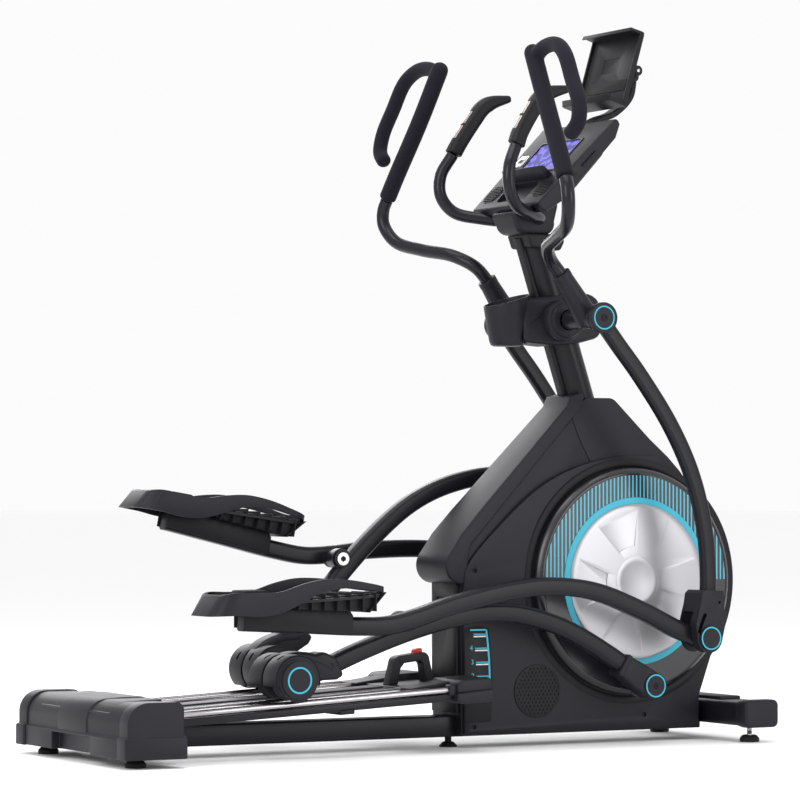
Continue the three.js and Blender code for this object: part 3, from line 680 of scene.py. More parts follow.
def finish_for(key):
    """The named material, made the first time that it is asked for."""
    if key not in _finishes:
        colours = bpy.context.scene.trainer_colours
        if key == "stripes":
            _finishes[key] = striped_disc(bpy.context.scene.trainer_sizes, colours)
        else:
            _finishes[key] = MAKERS[key](colours)
    return _finishes[key]


def dressed(piece, key):
    return painted(piece, finish_for(key))


def restyled(node, key):
    """A CAD node keeps its mesh and gets a better material."""
    dressed(frame["nodes"][node], key)


# ---------- small fittings that several pieces share ----------
def outward(profile):
    """A profile given by distances outward from the middle plane, for the right-hand side."""
    return [(r, -d) for r, d in profile]


def right_drum(name, centre, r, low, high, edge=1.5, steps=64):
    return turned(name, disc_profile(r, -low, -high, edge), centre, steps)


def band_ring(name, centre, r, width, face):
    """A flat enamelled ring standing a little proud of a face."""
    inner, outer = r - width, r
    top = face + RING_RISE
    profile = [
        (inner, face - 1), (outer, face - 1), (outer, top - 0.5), (outer - 0.5, top),
        (inner + 0.5, top), (inner, top - 0.5)]
    return turned(name, outward(profile), centre, 72)


def socket_screw(name, centre, r, face, key="trim"):
    """A button-head screw with a six-sided socket."""
    head = turned(name, outward([(0, face - 1), (r, face - 1), (r, face + 0.6), (r * 0.72, face + 2.2),
                                 (0, face + 2.2)]), centre, 32)
    socket = plate("socket", arc(centre, r * 0.5, 0, 300, 5), -face - 0.6, -face - 4)
    return dressed(cut(head, socket), key)


def ringed_cap(name, centre, r, face, depth, ring, width, screw=0):
    """A dark end cap with a cyan ring in its face and, where there is one, a screw."""
    rim = [
        (0, face - depth), (r - 1, face - depth), (r, face - depth + 1), (r, face - 1.5),
        (r - 0.5, face - 0.4), (r - 1.6, face), (ring + 0.8, face), (ring + 0.3, face - 0.6),
        (ring - width - 0.3, face - 0.6), (ring - width - 0.8, face), (0, face)]
    cap = dressed(turned(name, outward(rim), centre, 72), "shell")
    parts = [dressed(band_ring("ring", centre, ring, width, face - 0.8), "cyan")]
    if screw:
        parts.append(socket_screw("screw", centre, screw, face))
    return joined(cap, *parts)


def groove(name, points, y0, y1, width=1.2):
    """A thin cutter that follows a line of (x, z) points."""
    lower, upper = [], []
    for i, (x, z) in enumerate(points):
        ax, az = points[max(i - 1, 0)]
        bx, bz = points[min(i + 1, len(points) - 1)]
        size = math.hypot(bx - ax, bz - az)
        nx, nz = -(bz - az) / size * width / 2, (bx - ax) / size * width / 2
        lower.append((x - nx, z - nz))
        upper.append((x + nx, z + nz))
    return plate(name, lower + upper[::-1], y0, y1)


# ---------- settings ----------
class TrainerSizes(PropertyGroup):
    """Sizes that a user would change."""

    stripe_pitch: FloatProperty(
        name="Stripe pitch", description="Distance from one printed stripe to the next",
        default=0.0106, min=0.004, unit="LENGTH")
    stripe_width: FloatProperty(
        name="Stripe width", description="Width of one printed stripe",
        default=0.0038, min=0.001, unit="LENGTH")
    stripe_inner: FloatProperty(
        name="Stripe inner radius", description="Radius at which the stripes begin",
        default=0.205, min=0, unit="LENGTH")
    stripe_outer: FloatProperty(
        name="Stripe outer radius", description="Radius at which the stripes end",
        default=0.259, min=0, unit="LENGTH")
    shell_bevel: FloatProperty(
        name="Shell edge", description="Radius of the edges of the moulded covers, in millimetres",
        default=4.0, min=0.5)
    petals: IntProperty(
        name="Petals", description="Number of pressed sectors in each disc cover", default=5, min=3)
    camera_lens: FloatProperty(
        name="Focal length", description="Focal length of the camera, in millimetres", default=169.2,
        min=20)
    camera_distance: FloatProperty(
        name="Camera distance", description="Distance from the camera to the middle of the machine",
        default=9.0, min=2, unit="LENGTH")


def colour_of(name, description, default):
    return FloatVectorProperty(
        name=name, description=description, default=default, subtype="COLOR", size=3, min=0, max=1)


class TrainerColours(PropertyGroup):
    """Base colours of the finishes, linear."""

    shell: colour_of("Covers", "Moulded charcoal covers", (0.0110, 0.0110, 0.0150))
    trim: colour_of("Trim", "Matt black trim and small mouldings", (0.0075, 0.0075, 0.0098))
    coat: colour_of("Powder coat", "Satin black coat of the arms and frame", (0.0085, 0.0085, 0.0115))
    tube: colour_of("Tube paint", "Glossy paint of the bent handlebars", (0.0075, 0.0070, 0.0110))
    foam: colour_of("Foam", "Foam grips", (0.0095, 0.0085, 0.0140))
    accent: colour_of("Accent", "Cyan rings and print", (0.050, 0.360, 0.480))
    silver: colour_of("Disc cover", "Silver lacquer of the disc covers", (0.36, 0.355, 0.375))
    floor: colour_of("Floor", "Pale studio floor", (0.97, 0.97, 0.97))


# ---------- stage ----------
AIM = Vector((-0.0275, 0, 0.8328))
AZIMUTH = math.radians(28.5)
ELEVATION = math.radians(-1.148)
WORLD_TONE = (1.0, 1.0, 1.0, 1)
WORLD_STRENGTH = 0.97
FLOOR_R = 60
LIGHT_AIM = (0, 0, 0.8)
SENSOR_WIDTH = 36
# Name, place, the two sizes and the power of each soft light.
LIGHTS = (
    ("overhead", (-0.6, -0.4, 4.2), (3.4, 2.6), 95),
    ("rear_left", (-4.6, -2.2, 2.6), (2.6, 2.6), 110),
    ("side_fill", (2.6, -5.2, 1.6), (2.2, 3.0), 90),
    ("far_edge", (0.8, 4.6, 2.6), (2.6, 2.6), 80),
)


def soft_light(name, at, size, power):
    bpy.ops.object.light_add(type="AREA", location=at)
    light = bpy.context.object
    light.name = name
    light.data.shape = "RECTANGLE"
    light.data.size, light.data.size_y = size
    light.data.energy = power
    light.rotation_euler = (Vector(LIGHT_AIM) - Vector(at)).to_track_quat("-Z", "Y").to_euler()


class TRAINER_OT_stage(Operator):
    """Pale floor, soft studio light and the camera"""

    bl_idname = "trainer.stage"
    bl_label = "Stage, light and camera"

    def execute(self, context):
        sizes = context.scene.trainer_sizes
        deselect()
        bpy.ops.mesh.primitive_circle_add(vertices=96, radius=FLOOR_R, fill_type="NGON")
        floor = named("studio_floor")
        dressed(floor, "floor")
        world = bpy.data.worlds.new("studio")
        context.scene.world = world
        context.scene.view_settings.view_transform = "Standard"
        world.use_nodes = True
        background = world.node_tree.nodes["Background"]
        background.inputs["Color"].default_value = WORLD_TONE
        background.inputs["Strength"].default_value = WORLD_STRENGTH
        for light in LIGHTS:
            soft_light(*light)
        out = Vector((
            math.sin(AZIMUTH) * math.cos(ELEVATION), math.cos(AZIMUTH) * math.cos(ELEVATION),
            -math.sin(ELEVATION)))
        bpy.ops.object.camera_add(location=AIM - out * sizes.camera_distance)
        camera = context.object
        camera.rotation_euler = out.to_track_quat("-Z", "Y").to_euler()
        camera.data.lens = sizes.camera_lens
        camera.data.sensor_width = SENSOR_WIDTH
        context.scene.camera = camera
        return {"FINISHED"}


# ---------- base ----------
REAR_X = (-886, -736)
REAR_Z = (22, 148)
REAR_HALF = 311
REAR_SEAM = 262
FRONT_X = 836
BEAM_Z = 51
WEDGE_X = -745
WEDGE_RUN = 135
WEDGE_TAPER = 0.34
WEDGE_KEPT = 0.4


def rear_outline(inset, skirt):
    """Side view of the rear cover: a round-backed hood over a skirt that stands out."""
    x0, x1, z0, z1 = REAR_X[0] + inset, REAR_X[1] - inset, REAR_Z[0], REAR_Z[1] - inset
    return [
        (x0, z0), (x0, z0 + skirt), (x0 + 6, z0 + skirt + 3),
        *arc((x0 + 56, z1 - 50), 50, 178, 90, 14), *arc((x1 - 24, z1 - 18), 18, 90, 0, 8),
        (x1 - 6, z0 + skirt + 3), (x1, z0 + skirt), (x1, z0)]


class TRAINER_OT_base(Operator):
    """Rear cover with its grab recess, front stabilizer, beam and levelling feet"""

    bl_idname = "trainer.base"
    bl_label = "Base"

    def execute(self, context):
        self.rear_cover()
        self.stabilizer()
        self.feet()
        beam = plate("base_beam", moved(rounded_box(76, 50, 4, 3), 0, BEAM_Z), -800, 792, forward_of)
        cross = plate("base_cross", moved(rounded_box(44, 40, 4, 3), -832, 56), -284, 284)
        seat(dressed(joined(beam, cross), "coat"), "frame", "paint", "main_frame")
        return {"FINISHED"}

    def rear_cover(self):
        hood = plate("rear_cover_hood", rear_outline(3, 46), -REAR_SEAM, REAR_SEAM)
        recess = plate("recess", [(-900, 10), (-900, 62), (-862, 62), (-862, 10)], -108, 108)
        cut(hood, recess)
        wedge = plate("wedge", [
            (-880, 96), *arc((-831, 99), 48, 176, 96, 12), (-800, 149.5), (-752, 151), (-745, 144),
            (-745, 60), (-880, 60)], -104, 104)
        for vertex in wedge.data.vertices:
            spread = 1 - WEDGE_TAPER * clamped((vertex.co.x / MM - WEDGE_X) / -WEDGE_RUN)
            vertex.co.y *= spread + WEDGE_TAPER * WEDGE_KEPT
        step = plate("step", [(-874, 120), *arc((-826, 98), 48, 150, 92, 8), (-744, 148.4), (-744, 90),
                              (-860, 90)], -196, 196)
        for part, width in ((hood, 3), (wedge, 5), (step, 3)):
            dressed(bevelled(part, width, 4), "shell")
        caps = []
        for way in (-1, 1):
            cap = plate("end_cap", rear_outline(0, 46), way * (REAR_SEAM + 0.8), way * REAR_HALF)
            caps.append(dressed(bevelled(cap, 9, 5), "shell"))
            block = plate("end_skirt", [
                (-887.5, 21), (-887.5, 67), (-884, 71), (-738, 71), (-734.5, 67), (-734.5, 21)],
                way * (REAR_SEAM + 4), way * (REAR_HALF + 1.5))
            caps.append(dressed(bevelled(block, 4, 3), "shell"))
        path = [(-868, y, 44) for y in (-112, 0, 112)]
        bar = sweep("grab_bar", path, circle(9, 20), flat=False)
        seat(joined(hood, wedge, step, dressed(bar, "trim"), *caps), "frame", "shell", "rear_cover")

    def stabilizer(self):
        tube = plate("front_stabilizer_tube", moved(rounded_box(84, 60, 12), FRONT_X, 70), -240, 240)
        parts = []
        for way in (-1, 1):
            cap = plate("stabilizer_cap", moved(rounded_box(98, 68, 15), FRONT_X, 71), way * 222, way * 262)
            parts.append(dressed(bevelled(cap, 8, 4), "shell"))
            rim = moved(rounded_box(91, 64, 14), FRONT_X, 70.5)
            lip = plate("stabilizer_lip", rim, way * 212, way * 224)
            parts.append(dressed(bevelled(lip, 2, 2), "shell"))
        neck = plate("stabilizer_neck", moved(rounded_box(76, 50, 4, 3), 0, BEAM_Z), 764, 800, forward_of)
        pad = plate("stabilizer_pad", moved(rounded_box(60, 12, 4, 3), FRONT_X, 102), -120, 120)
        bars = (dressed(tube, "coat"), dressed(neck, "coat"), dressed(bevelled(pad, 2, 2), "shell"))
        seat(joined(*bars, *parts), "frame", "shell", "front_stabilizer")

    def feet(self):
        for way, side in ((-1, "right"), (1, "left")):
            for stem, x, y, top in (("rear_foot", -832, 246, 33), ("front_foot", FRONT_X, 205, 37)):
                self.foot(f"{stem}_{side}", x, way * y, top)
        profile = [(0, 0.3), (21, 0.3), (22, 1.5), (22, 3), (13, 12), (8, 13), (8, 25.6), (0, 25.6)]
        middle = turned("middle_foot_pad", profile, (104, 0), 40, "Z")
        seat(dressed(middle, "rubber"), "frame", "rubber", "middle_foot")

    def foot(self, node, x, y, top):
        sole = [(0, 0.2), (22.5, 0.2), (24, 1.6), (24, 9), (22.5, 11), (19, 15), (16, 17), (0, 17)]
        pad = turned(f"{node}_pad", sole, (x, y), 40, "Z")
        stem = turned("stem", [(0, 16), (6.5, 16), (6.5, 19)] + [
            (6.5 - 0.7 * (i % 2), 19 + i * 1.2) for i in range(8)] + [(6, top), (0, top)], (x, y), 24, "Z")
        seat(joined(dressed(pad, "rubber"), dressed(stem, "steel")), "frame", "rubber", node)


# ---------- drive housing ----------
CORE_Y = 70
GRILLE = (306, 132)
GRILLE_R = 64
HOLE_PITCH = 10.4
HOLE_R = 3.3
ROW_SHARE = 0.866
SCALE_CENTRE = (-726, 150)
SCALE_R = 900
LEVELS = 5
LEVEL_PITCH = 33.5
NUMERAL_SIZE = 0.017
NUMERAL_RISE = 0.0004
# Height where a cover begins to narrow towards the mast, the run above it and the share lost over that run.
SHELL_NARROW = (640, 210, 0.30)
RIDGE_NARROW = (520, 330, 0.22)
SCREWS = ((134, 424), (132, 50), (612, 66))
CREASE = [(104, 372), (112, 430), (222, 548), (321, 626), (400, 664), (473, 686), (560, 699), (655, 700)]


def narrowed(piece, taper):
    """Draws the upper part of a cover in towards the mast."""
    start, run, share = taper
    for vertex in piece.data.vertices:
        z = vertex.co.z / MM
        if z > start:
            vertex.co.y *= 1 - share * (z - start) / run


def housing_side():
    return [
        (101, 30), (101, 440), (112, 478), (140, 510), (418, 788), *arc((474, 812), 30, 135, 90, 5),
        *arc((528, 812), 30, 90, 48, 5), (640, 742), (689, 699), (722, 664),
        *arc(HUB, 290, 50, -18, 20), (777, 110), (775, 30)]


def side_panel():
    """The raised panel around the disc: its upper edge is the crease of the housing."""
    crease = [(p[0], p[1]) for p in curve_through([(x, z, 0) for x, z in CREASE], 8)]
    return [
        (106, 34), *crease, (684, 672), (712, 640),
        *arc(HUB, 283, 46, -18, 20), (768, 112), (766, 34)]


class TRAINER_OT_housing(Operator):
    """Drive housing: two shells, the cover over their rear edge, grilles and the level scale"""

    bl_idname = "trainer.housing"
    bl_label = "Drive housing"

    def execute(self, context):
        bevel = context.scene.trainer_sizes.shell_bevel
        shell = plate("housing_shell_right", housing_side(), -0.2, -CORE_Y)
        panel = plate("panel", side_panel(), -CORE_Y + 12, -SHELL_Y)
        for part in (shell, panel):
            narrowed(part, SHELL_NARROW)
        seam = groove("seam", [(404, 838), (416, 800), (440, 740), (470, 684)], -20, -90, 1.6)
        cut(shell, seam)
        dressed(bevelled(shell, bevel * 2, 5), "shell")
        for at in SCREWS:
            cut(panel, right_drum("hole", at, 6, SHELL_Y - 5, SHELL_Y + 4, 0.2, 24))
        dressed(bevelled(panel, bevel, 4, 40), "shell")
        rim = turned("disc_recess", outward([
            (279, SHELL_Y - 3), (300, SHELL_Y - 3), (300, SHELL_Y + 0.4), (296, SHELL_Y + 2.2),
            (286, SHELL_Y + 2.2), (281, SHELL_Y + 0.6), (279, SHELL_Y - 1)]), HUB, 144)
        parts = [panel, dressed(rim, "trim")]
        for at in SCREWS:
            parts.append(socket_screw("screw", at, 4.2, SHELL_Y - 6))
        both(joined(shell, *parts), "housing_shell", "frame", "shell", "housing")
        self.spine()
        self.rear_column()
        self.grille()
        self.level_scale()
        return {"FINISHED"}

    def spine(self):
        outline = [
            *arc((100, 436), 44, 285, 135, 16), (100, 512), (150, 566), (390, 808), (404, 822), (414, 846),
            (446, 853), (452, 838), (438, 812), (160, 522), (126, 486), (118, 452), (118, 400)]
        ridge = plate("spine_ridge", outline, -76, 76)
        narrowed(ridge, RIDGE_NARROW)
        seat(dressed(bevelled(ridge, 13, 6), "shell"), "frame", "dark_shell", "spine_cover")

    def rear_column(self):
        column = plate("rear_column", [(92, 84), (92, 398), (104, 404), (104, 84)], -60, 60)
        slots = [plate("slot", [(80, z), (80, z + 8), (96, z + 8), (96, z)], -34, 34) for z in (330, 352)]
        seat(dressed(bevelled(cut(column, *slots), 2, 2), "trim"), "frame", "dark_shell")

    def grille(self):
        x, z = GRILLE
        face = SHELL_Y + 0.2
        sheet = right_drum("grille_sheet", GRILLE, GRILLE_R, face - 1, face + 2.4, 1.2, 72)
        holes = []
        for row in range(-6, 7):
            for column in range(-6, 7):
                at = (x + (column + 0.5 * (row % 2)) * HOLE_PITCH, z + row * HOLE_PITCH * ROW_SHARE)
                if math.hypot(at[0] - x, at[1] - z) < GRILLE_R - 6:
                    holes.append(plate("hole", arc(at, HOLE_R, 0, 315, 7), -face - 0.6, -face - 5))
        cut(sheet, joined(*holes))
        both(dressed(sheet, "trim"), "grille_sheet", "frame", "dark_shell", "grille")

    def level_scale(self):
        """Smoked window with the curved line and one pair of ticks for each level."""
        face = SHELL_Y + 0.1
        window = plate("level_scale_window", [
            (108, 60), (104, 286), (144, 292), *arc((-720, 150), 902, 8.6, -5.6, 20)], -face + 2,
                -face - 1.2)
        dressed(bevelled(window, 0.8, 2), "window")
        edge = arc(SCALE_CENTRE, SCALE_R, 8.4, -1.2, 24)
        line = groove("arc_line", edge, -face - 0.8, -face - 2.0, 4.6)
        parts = [dressed(line, "cyan")]
        top = edge[0]
        x0, x1, z0, z1 = top[0] - 44, top[0], top[1] - 1, top[1] + 3
        lead = plate("lead", [(x0, z0), (x1, z0), (x1, z1), (x0, z1)], -face - 0.8, -face - 2.0)
        parts.append(dressed(lead, "cyan"))
        for i in range(LEVELS):
            z = top[1] - 8 - LEVEL_PITCH * i
            x = SCALE_CENTRE[0] + math.sqrt(SCALE_R**2 - (z - SCALE_CENTRE[1]) ** 2)
            for key, drop, thick in (("cyan", 0, 2.6), ("print", 5, 3.2)):
                high, low = z - drop, z - drop - thick
                tick = [(x - 36, high), (x - 2, high), (x - 2, low), (x - 36, low)]
                parts.append(dressed(plate("tick", tick, -face - 0.8, -face - 1.8), key))
            if i:
                parts.append(self.numeral(str(LEVELS - i), x - 46, z - 6, face + 1.4))
        seat(joined(window, *parts), "frame", "dark_shell", "level_scale")

    def numeral(self, text, x, z, face):
        """A plain figure printed beside its level."""
        deselect()
        bpy.ops.object.text_add(rotation=(math.pi / 2, 0, 0))
        mark = bpy.context.object
        mark.data.body = text
        mark.data.size = NUMERAL_SIZE
        mark.data.extrude = NUMERAL_RISE
        mark.data.align_x = "CENTER"
        pick(mark)
        bpy.ops.object.convert(target="MESH")
        mark = bpy.context.object
        mark.data.transform(Matrix.Translation((x * MM, -face * MM, z * MM)) @ mark.matrix_world)
        mark.matrix_world = Matrix.Identity(4)
        return dressed(mark, "cyan")


# ---------- mast and drive ----------
MAST_LEAN = -0.329
MAST_AT = (482, 840)
MAST_HALF = (40, 38)
MAST_SHIFT = -11
STRIP_SHIFT = -54


def mast_x(z):
    return MAST_AT[0] + MAST_LEAN * (z - MAST_AT[1])


def oval(half_deep, half_wide, steps=40):
    """Section of the mast: half its depth along the machine and half its width across it."""
    points = []
    for i in range(steps):
        a = 2 * math.pi * i / steps
        points.append((half_deep * math.cos(a), half_wide * math.sin(a)))
    return points


class TRAINER_OT_drive(Operator):
    """Mast, and the hidden drive inside the housing"""

    bl_idname = "trainer.drive"
    bl_label = "Mast and drive"

    def execute(self, context):
        path = [(mast_x(z) + MAST_SHIFT, 0, z) for z in (650, 800, 1000, 1150, 1236)]
        post = dressed(sweep("mast_post", path, oval(*MAST_HALF), 60, 1), "coat")
        rear = [(mast_x(z) + STRIP_SHIFT, 0, z) for z in (835, 900, 1000, 1150, 1230)]
        strip = dressed(sweep("mast_strip", rear, rounded_box(30, 12, 4, 4), 60, 1), "trim")
        seat(joined(post, strip), "frame", "paint", "mast")
        for node in ("drive_bracket", "drive_pulley", "brake"):
            restyled(node, "iron")
        for node in ("crank_axle", "flywheel", "swing_axle"):
            restyled(node, "steel")
        restyled("belt", "rubber")
        return {"FINISHED"}


# ---------- crank discs ----------
PETAL_START = 38
PETAL_R = (88, 172)
PETAL_HALF = 20
PETAL_ROOT_HALF = 15
PETAL_FLOOR = 5.0
PETAL_CUT = 8
COVER_TOP = 7.1


class TRAINER_OT_cranks(Operator):
    """Crank discs: striped black rim, cyan ring and silver cover with pressed petals"""

    bl_idname = "trainer.cranks"
    bl_label = "Crank discs"

    def execute(self, context):
        sizes = context.scene.trainer_sizes
        face = DISC_FACE_Y
        disc = turned("crank_disc_rim_right", outward([
            (0, 80.2), (270, 80.2), (276, 82), (277, 85), (277, 91), (275, 95), (266, face - 0.6),
            (264, face), (262.6, face), (262, face - 1.4), (260.4, face - 1.4), (259.8, face), (0, face)]),
            HUB, 160)
        painted(disc, finish_for("stripes"))
        bush = right_drum("pin_stub", PIN, 15, face - 1, 118, 1, 40)
        ring = turned("ring", outward([
            (187, face - 2), (204.5, face - 2), (204.5, face + 1.4), (203.8, face + 2.2),
            (188, face + 2.2)]), HUB, 144)
        cover = turned("cover", outward([
            (0, face - 1), (189, face - 1), (189.5, face + 2), (188.5, face + 4.6), (185, face + 6.4),
            (178, face + 7), (60, face + 7.6), (0, face + 7.6)]), HUB, 144)
        cutters = []
        for i in range(sizes.petals):
            middle = PETAL_START + i * 360 / sizes.petals
            rim = arc(HUB, PETAL_R[1], middle - PETAL_HALF, middle + PETAL_HALF, 16)
            root = arc(HUB, PETAL_R[0], middle + PETAL_ROOT_HALF, middle - PETAL_ROOT_HALF, 2)
            cutters.append(plate("petal", [*rim, *root], 0, PETAL_CUT, self.pocket))
        cut(cover, joined(*cutters))
        bevelled(cover, 1.6, 3, 35)
        hub = turned("hub_ring", outward([
            (0, face + 5), (62, face + 5), (61, face + 8.0), (57, face + 8.6), (48, face + 8.6),
            (45, face + 7.9), (0, face + 7.9)]),
            HUB, 96)
        parts = [dressed(bush, "steel"), dressed(ring, "cyan"), dressed(joined(cover, hub), "silver")]
        both(joined(disc, *parts), "crank_disc_rim", "cranks", "silver", "crank_disc")
        return {"FINISHED"}

    def pocket(self, x, z, rise):
        """Points of a petal cutter: its floor is deepest at the root and runs out at the rim."""
        share = (math.hypot(x - HUB[0], z - HUB[1]) - PETAL_R[0]) / (PETAL_R[1] - PETAL_R[0])
        return (x, -DISC_FACE_Y - PETAL_FLOOR - (COVER_TOP - PETAL_FLOOR) * share - rise, z)


# ---------- roller arms, fenders and wheels ----------
ARM_PATH = [
    (-340, 196), (-244, 236), (-91, 288), (46, 320), (126, 328), (211, 321), (312, 293), (380, 262),
    (469, 211), (560, 152)]


class TRAINER_OT_roller_arms(Operator):
    """Roller arms: bent box tube, crank joint with its sleeve, and the heel barrel"""

    bl_idname = "trainer.roller_arms"
    bl_label = "Roller arms"

    def execute(self, context):
        tube = sweep("roller_arm_tube_right", side_path(ARM_PATH, -ARM_Y), rounded_box(ARM_W, ARM_H, 12), 8)
        slope = heading(ARM_PATH[7], PIN)

        def along(d, up):
            return (
                PIN[0] + d * math.cos(slope) - up * math.sin(slope),
                PIN[1] + d * math.sin(slope) + up * math.cos(slope))

        sleeve = plate("sleeve", [along(-34, 31), along(-100, 26.5), along(-100, -26.5), along(-34, -31)],
            -138, -191)
        collar = plate("collar", [along(-90, 28.5), along(-104, 28), along(-104, -28), along(-90, -28.5)],
            -137, -193)
        boss = [
            *arc(PIN, 32, math.degrees(slope) + 96, math.degrees(slope) - 96, 28),
            along(-60, -30), along(-60, 30)]
        eye = plate("eye", boss, -134, -190.5)
        bearing = right_drum("bearing", PIN, 31, 119.4, 150, 2)
        edges = ((sleeve, 6), (collar, 4), (eye, 5))
        parts = [dressed(bevelled(part, width, 4), "shell") for part, width in edges]
        barrel = right_drum("heel_barrel", HEEL, 21, 143, 202, 2.5)
        neck = right_drum("heel_neck", HEEL, 25, 150, 176, 3)
        washer = turned("washer", outward([
            (6, 140), (15.5, 140), (15.5, 143.6), (6, 143.6)]), HEEL, 48)
        head = [(0, 138.6), (6.8, 138.6), (7.4, 140), (7.4, 143.6), (0, 143.6)]
        bolt = turned("bolt", outward(head), HEEL, 6)
        parts += [
            dressed(bearing, "steel"), dressed(barrel, "coat"), dressed(neck, "coat"),
            dressed(washer, "steel"), dressed(bolt, "trim"),
            ringed_cap("pin_cap", PIN, 30.5, 195, 8, 28, 3.6, 7)]
        both(joined(dressed(tube, "coat"), *parts), "roller_arm_tube", "roller_link", "tube", "roller_arm")
        return {"FINISHED"}


HOODS = ((95, 161), (169, 236))
HOOD_R = (52.5, 58)
CHEEK_R = 57.5
CHEEK_THICK = 3.5
SLOTS_Y = (132, 200)
SLOT_BACK = 26


class TRAINER_OT_fenders(Operator):
    """Roller fenders: two round hoods side by side, the clamp of the arm and the outer cap"""

    bl_idname = "trainer.fenders"
    bl_label = "Roller fenders"

    def execute(self, context):
        hoods = []
        for (low, high), y in zip(HOODS, SLOTS_Y):
            ring = [*arc(ROLLER, HOOD_R[1], -14, 196, 36), *arc(ROLLER, HOOD_R[0], 196, -14, 36)]
            hood = bevelled(plate("hood", ring, -low, -high), 2, 3)
            slot = moved(rounded_box(9, 20, 4, 4), y, 0)
            cut(hood, plate("slot", slot, ROLLER[1], ROLLER[1] + 90, self.above_wheel))
            hoods.append(hood)
            for y0, y1 in ((low, low + CHEEK_THICK), (high - CHEEK_THICK, high)):
                cheek = plate("cheek", arc(ROLLER, CHEEK_R, -14, 194, 36), -y0, -y1)
                hoods.append(bevelled(cheek, 1.2, 2))
        saddle = sweep("saddle", side_path([(-432, 226), (-400, 234), (-352, 228), (-304, 206)], -ARM_Y),
                       rounded_box(60, 26, 11), 6, 6)
        side = [(-396, 230), (-330, 246), (-298, 232), (-278, 190), (-296, 180), (-372, 178)]
        clamp = plate("clamp", side, -136, -194)
        under = [*arc(ROLLER, 54, 70, 110, 6), (-438, 152), (-430, 138), (-410, 138), (-402, 152)]
        web = plate("web", under, -158, -172)
        neck_screw = socket_screw("screw", (-312, 214), 5, 193)
        parts = [dressed(part, "shell") for part in (*hoods, saddle)]
        parts += [dressed(bevelled(part, width, 4), "shell") for part, width in ((clamp, 8), (web, 2))]
        parts.append(neck_screw)
        cap = ringed_cap("roller_cap", ROLLER, 44.5, 245, 9, 31, 4.2)
        step = right_drum("cap_step", ROLLER, 50, 233, 239, 2.5)
        both(joined(cap, dressed(step, "shell"), *parts), "roller_fender", "roller_link", "shell", "fender")
        self.wheels()
        return {"FINISHED"}

    def above_wheel(self, a, b, c):
        return (ROLLER[0] - SLOT_BACK + b, -a, c)

    def wheels(self):
        """Two tyred wheels on one axle, each with a flat tread between sloping shoulders."""
        parts = []
        for y in RAILS_Y:
            tyre = turned("tyre", outward([
                (26, y - 14), (44, y - 15), (47.6, y - 13), (WHEEL_R, y - 9), (WHEEL_R, y + 9),
                (47.6, y + 13), (44, y + 15), (26, y + 14)]), ROLLER, 72)
            hub = turned("hub", outward([
                (9, y - 11), (24, y - 11), (26.5, y - 8), (26.5, y + 8), (24, y + 11), (9, y + 11)]),
                ROLLER, 48)
            parts += [dressed(tyre, "urethane"), dressed(hub, "trim")]
        axle = right_drum("axle", ROLLER, 8, 100, 230, 1, 32)
        both(joined(dressed(axle, "steel"), *parts), "roller_wheels", "wheels", "tyre", "rollers")


# ---------- pedal arms and pedals ----------
PEDAL_PATH = [
    (-562, 320), (-410, 312), (-260, 304), (-180, 305), (-110, 320), (-21, 346), (143, 380), (258, 389),
    (378, 375), (513, 326), (612, 280), (664, 262)]
HEEL_X, TOE_X = -634, -212
HEEL_FLARE = 0.62
HEEL_TOP = 386
HEEL_RUN = 100
PEDAL_HALF = 74
RIBS = 9
RIB_PITCH = 12
WEBS = 7
WEB_PITCH = 33
WEB_RISE = 0.8


class TRAINER_OT_pedal_arms(Operator):
    """Pedal arms: long bent box tubes that end in an eye at the knee"""

    bl_idname = "trainer.pedal_arms"
    bl_label = "Pedal arms"

    def execute(self, context):
        tube = sweep("pedal_arm_tube_right", side_path(PEDAL_PATH, -PEDAL_Y), rounded_box(ARM_W, ARM_H, 12),
            8)
        eye = right_drum("knee_eye", KNEE, 23, PEDAL_Y - 21, PEDAL_Y + 21, 2)
        bush = right_drum("heel_bush", HEEL, 22, 203, 208, 1)
        both(joined(dressed(tube, "coat"), dressed(eye, "coat"), dressed(bush, "coat")),
             "pedal_arm_tube", "pedal_link", "tube", "pedal_arm")
        return {"FINISHED"}


def pedal_plan(inset):
    """The footplate from above: a square heel and a narrower round toe."""
    half = PEDAL_HALF - inset
    heel, toe = HEEL_X + inset, TOE_X - inset
    right = [
        *arc((heel + 38, -half + 38), 38, 180, 270, 8), (heel + 180, -half), (toe - 120, -half + 3),
        (toe - 60, -half + 10), *arc((toe - 34, -half + 46), 34, 278, 360, 8)]
    return right + [(x, -y) for x, y in reversed(right)]


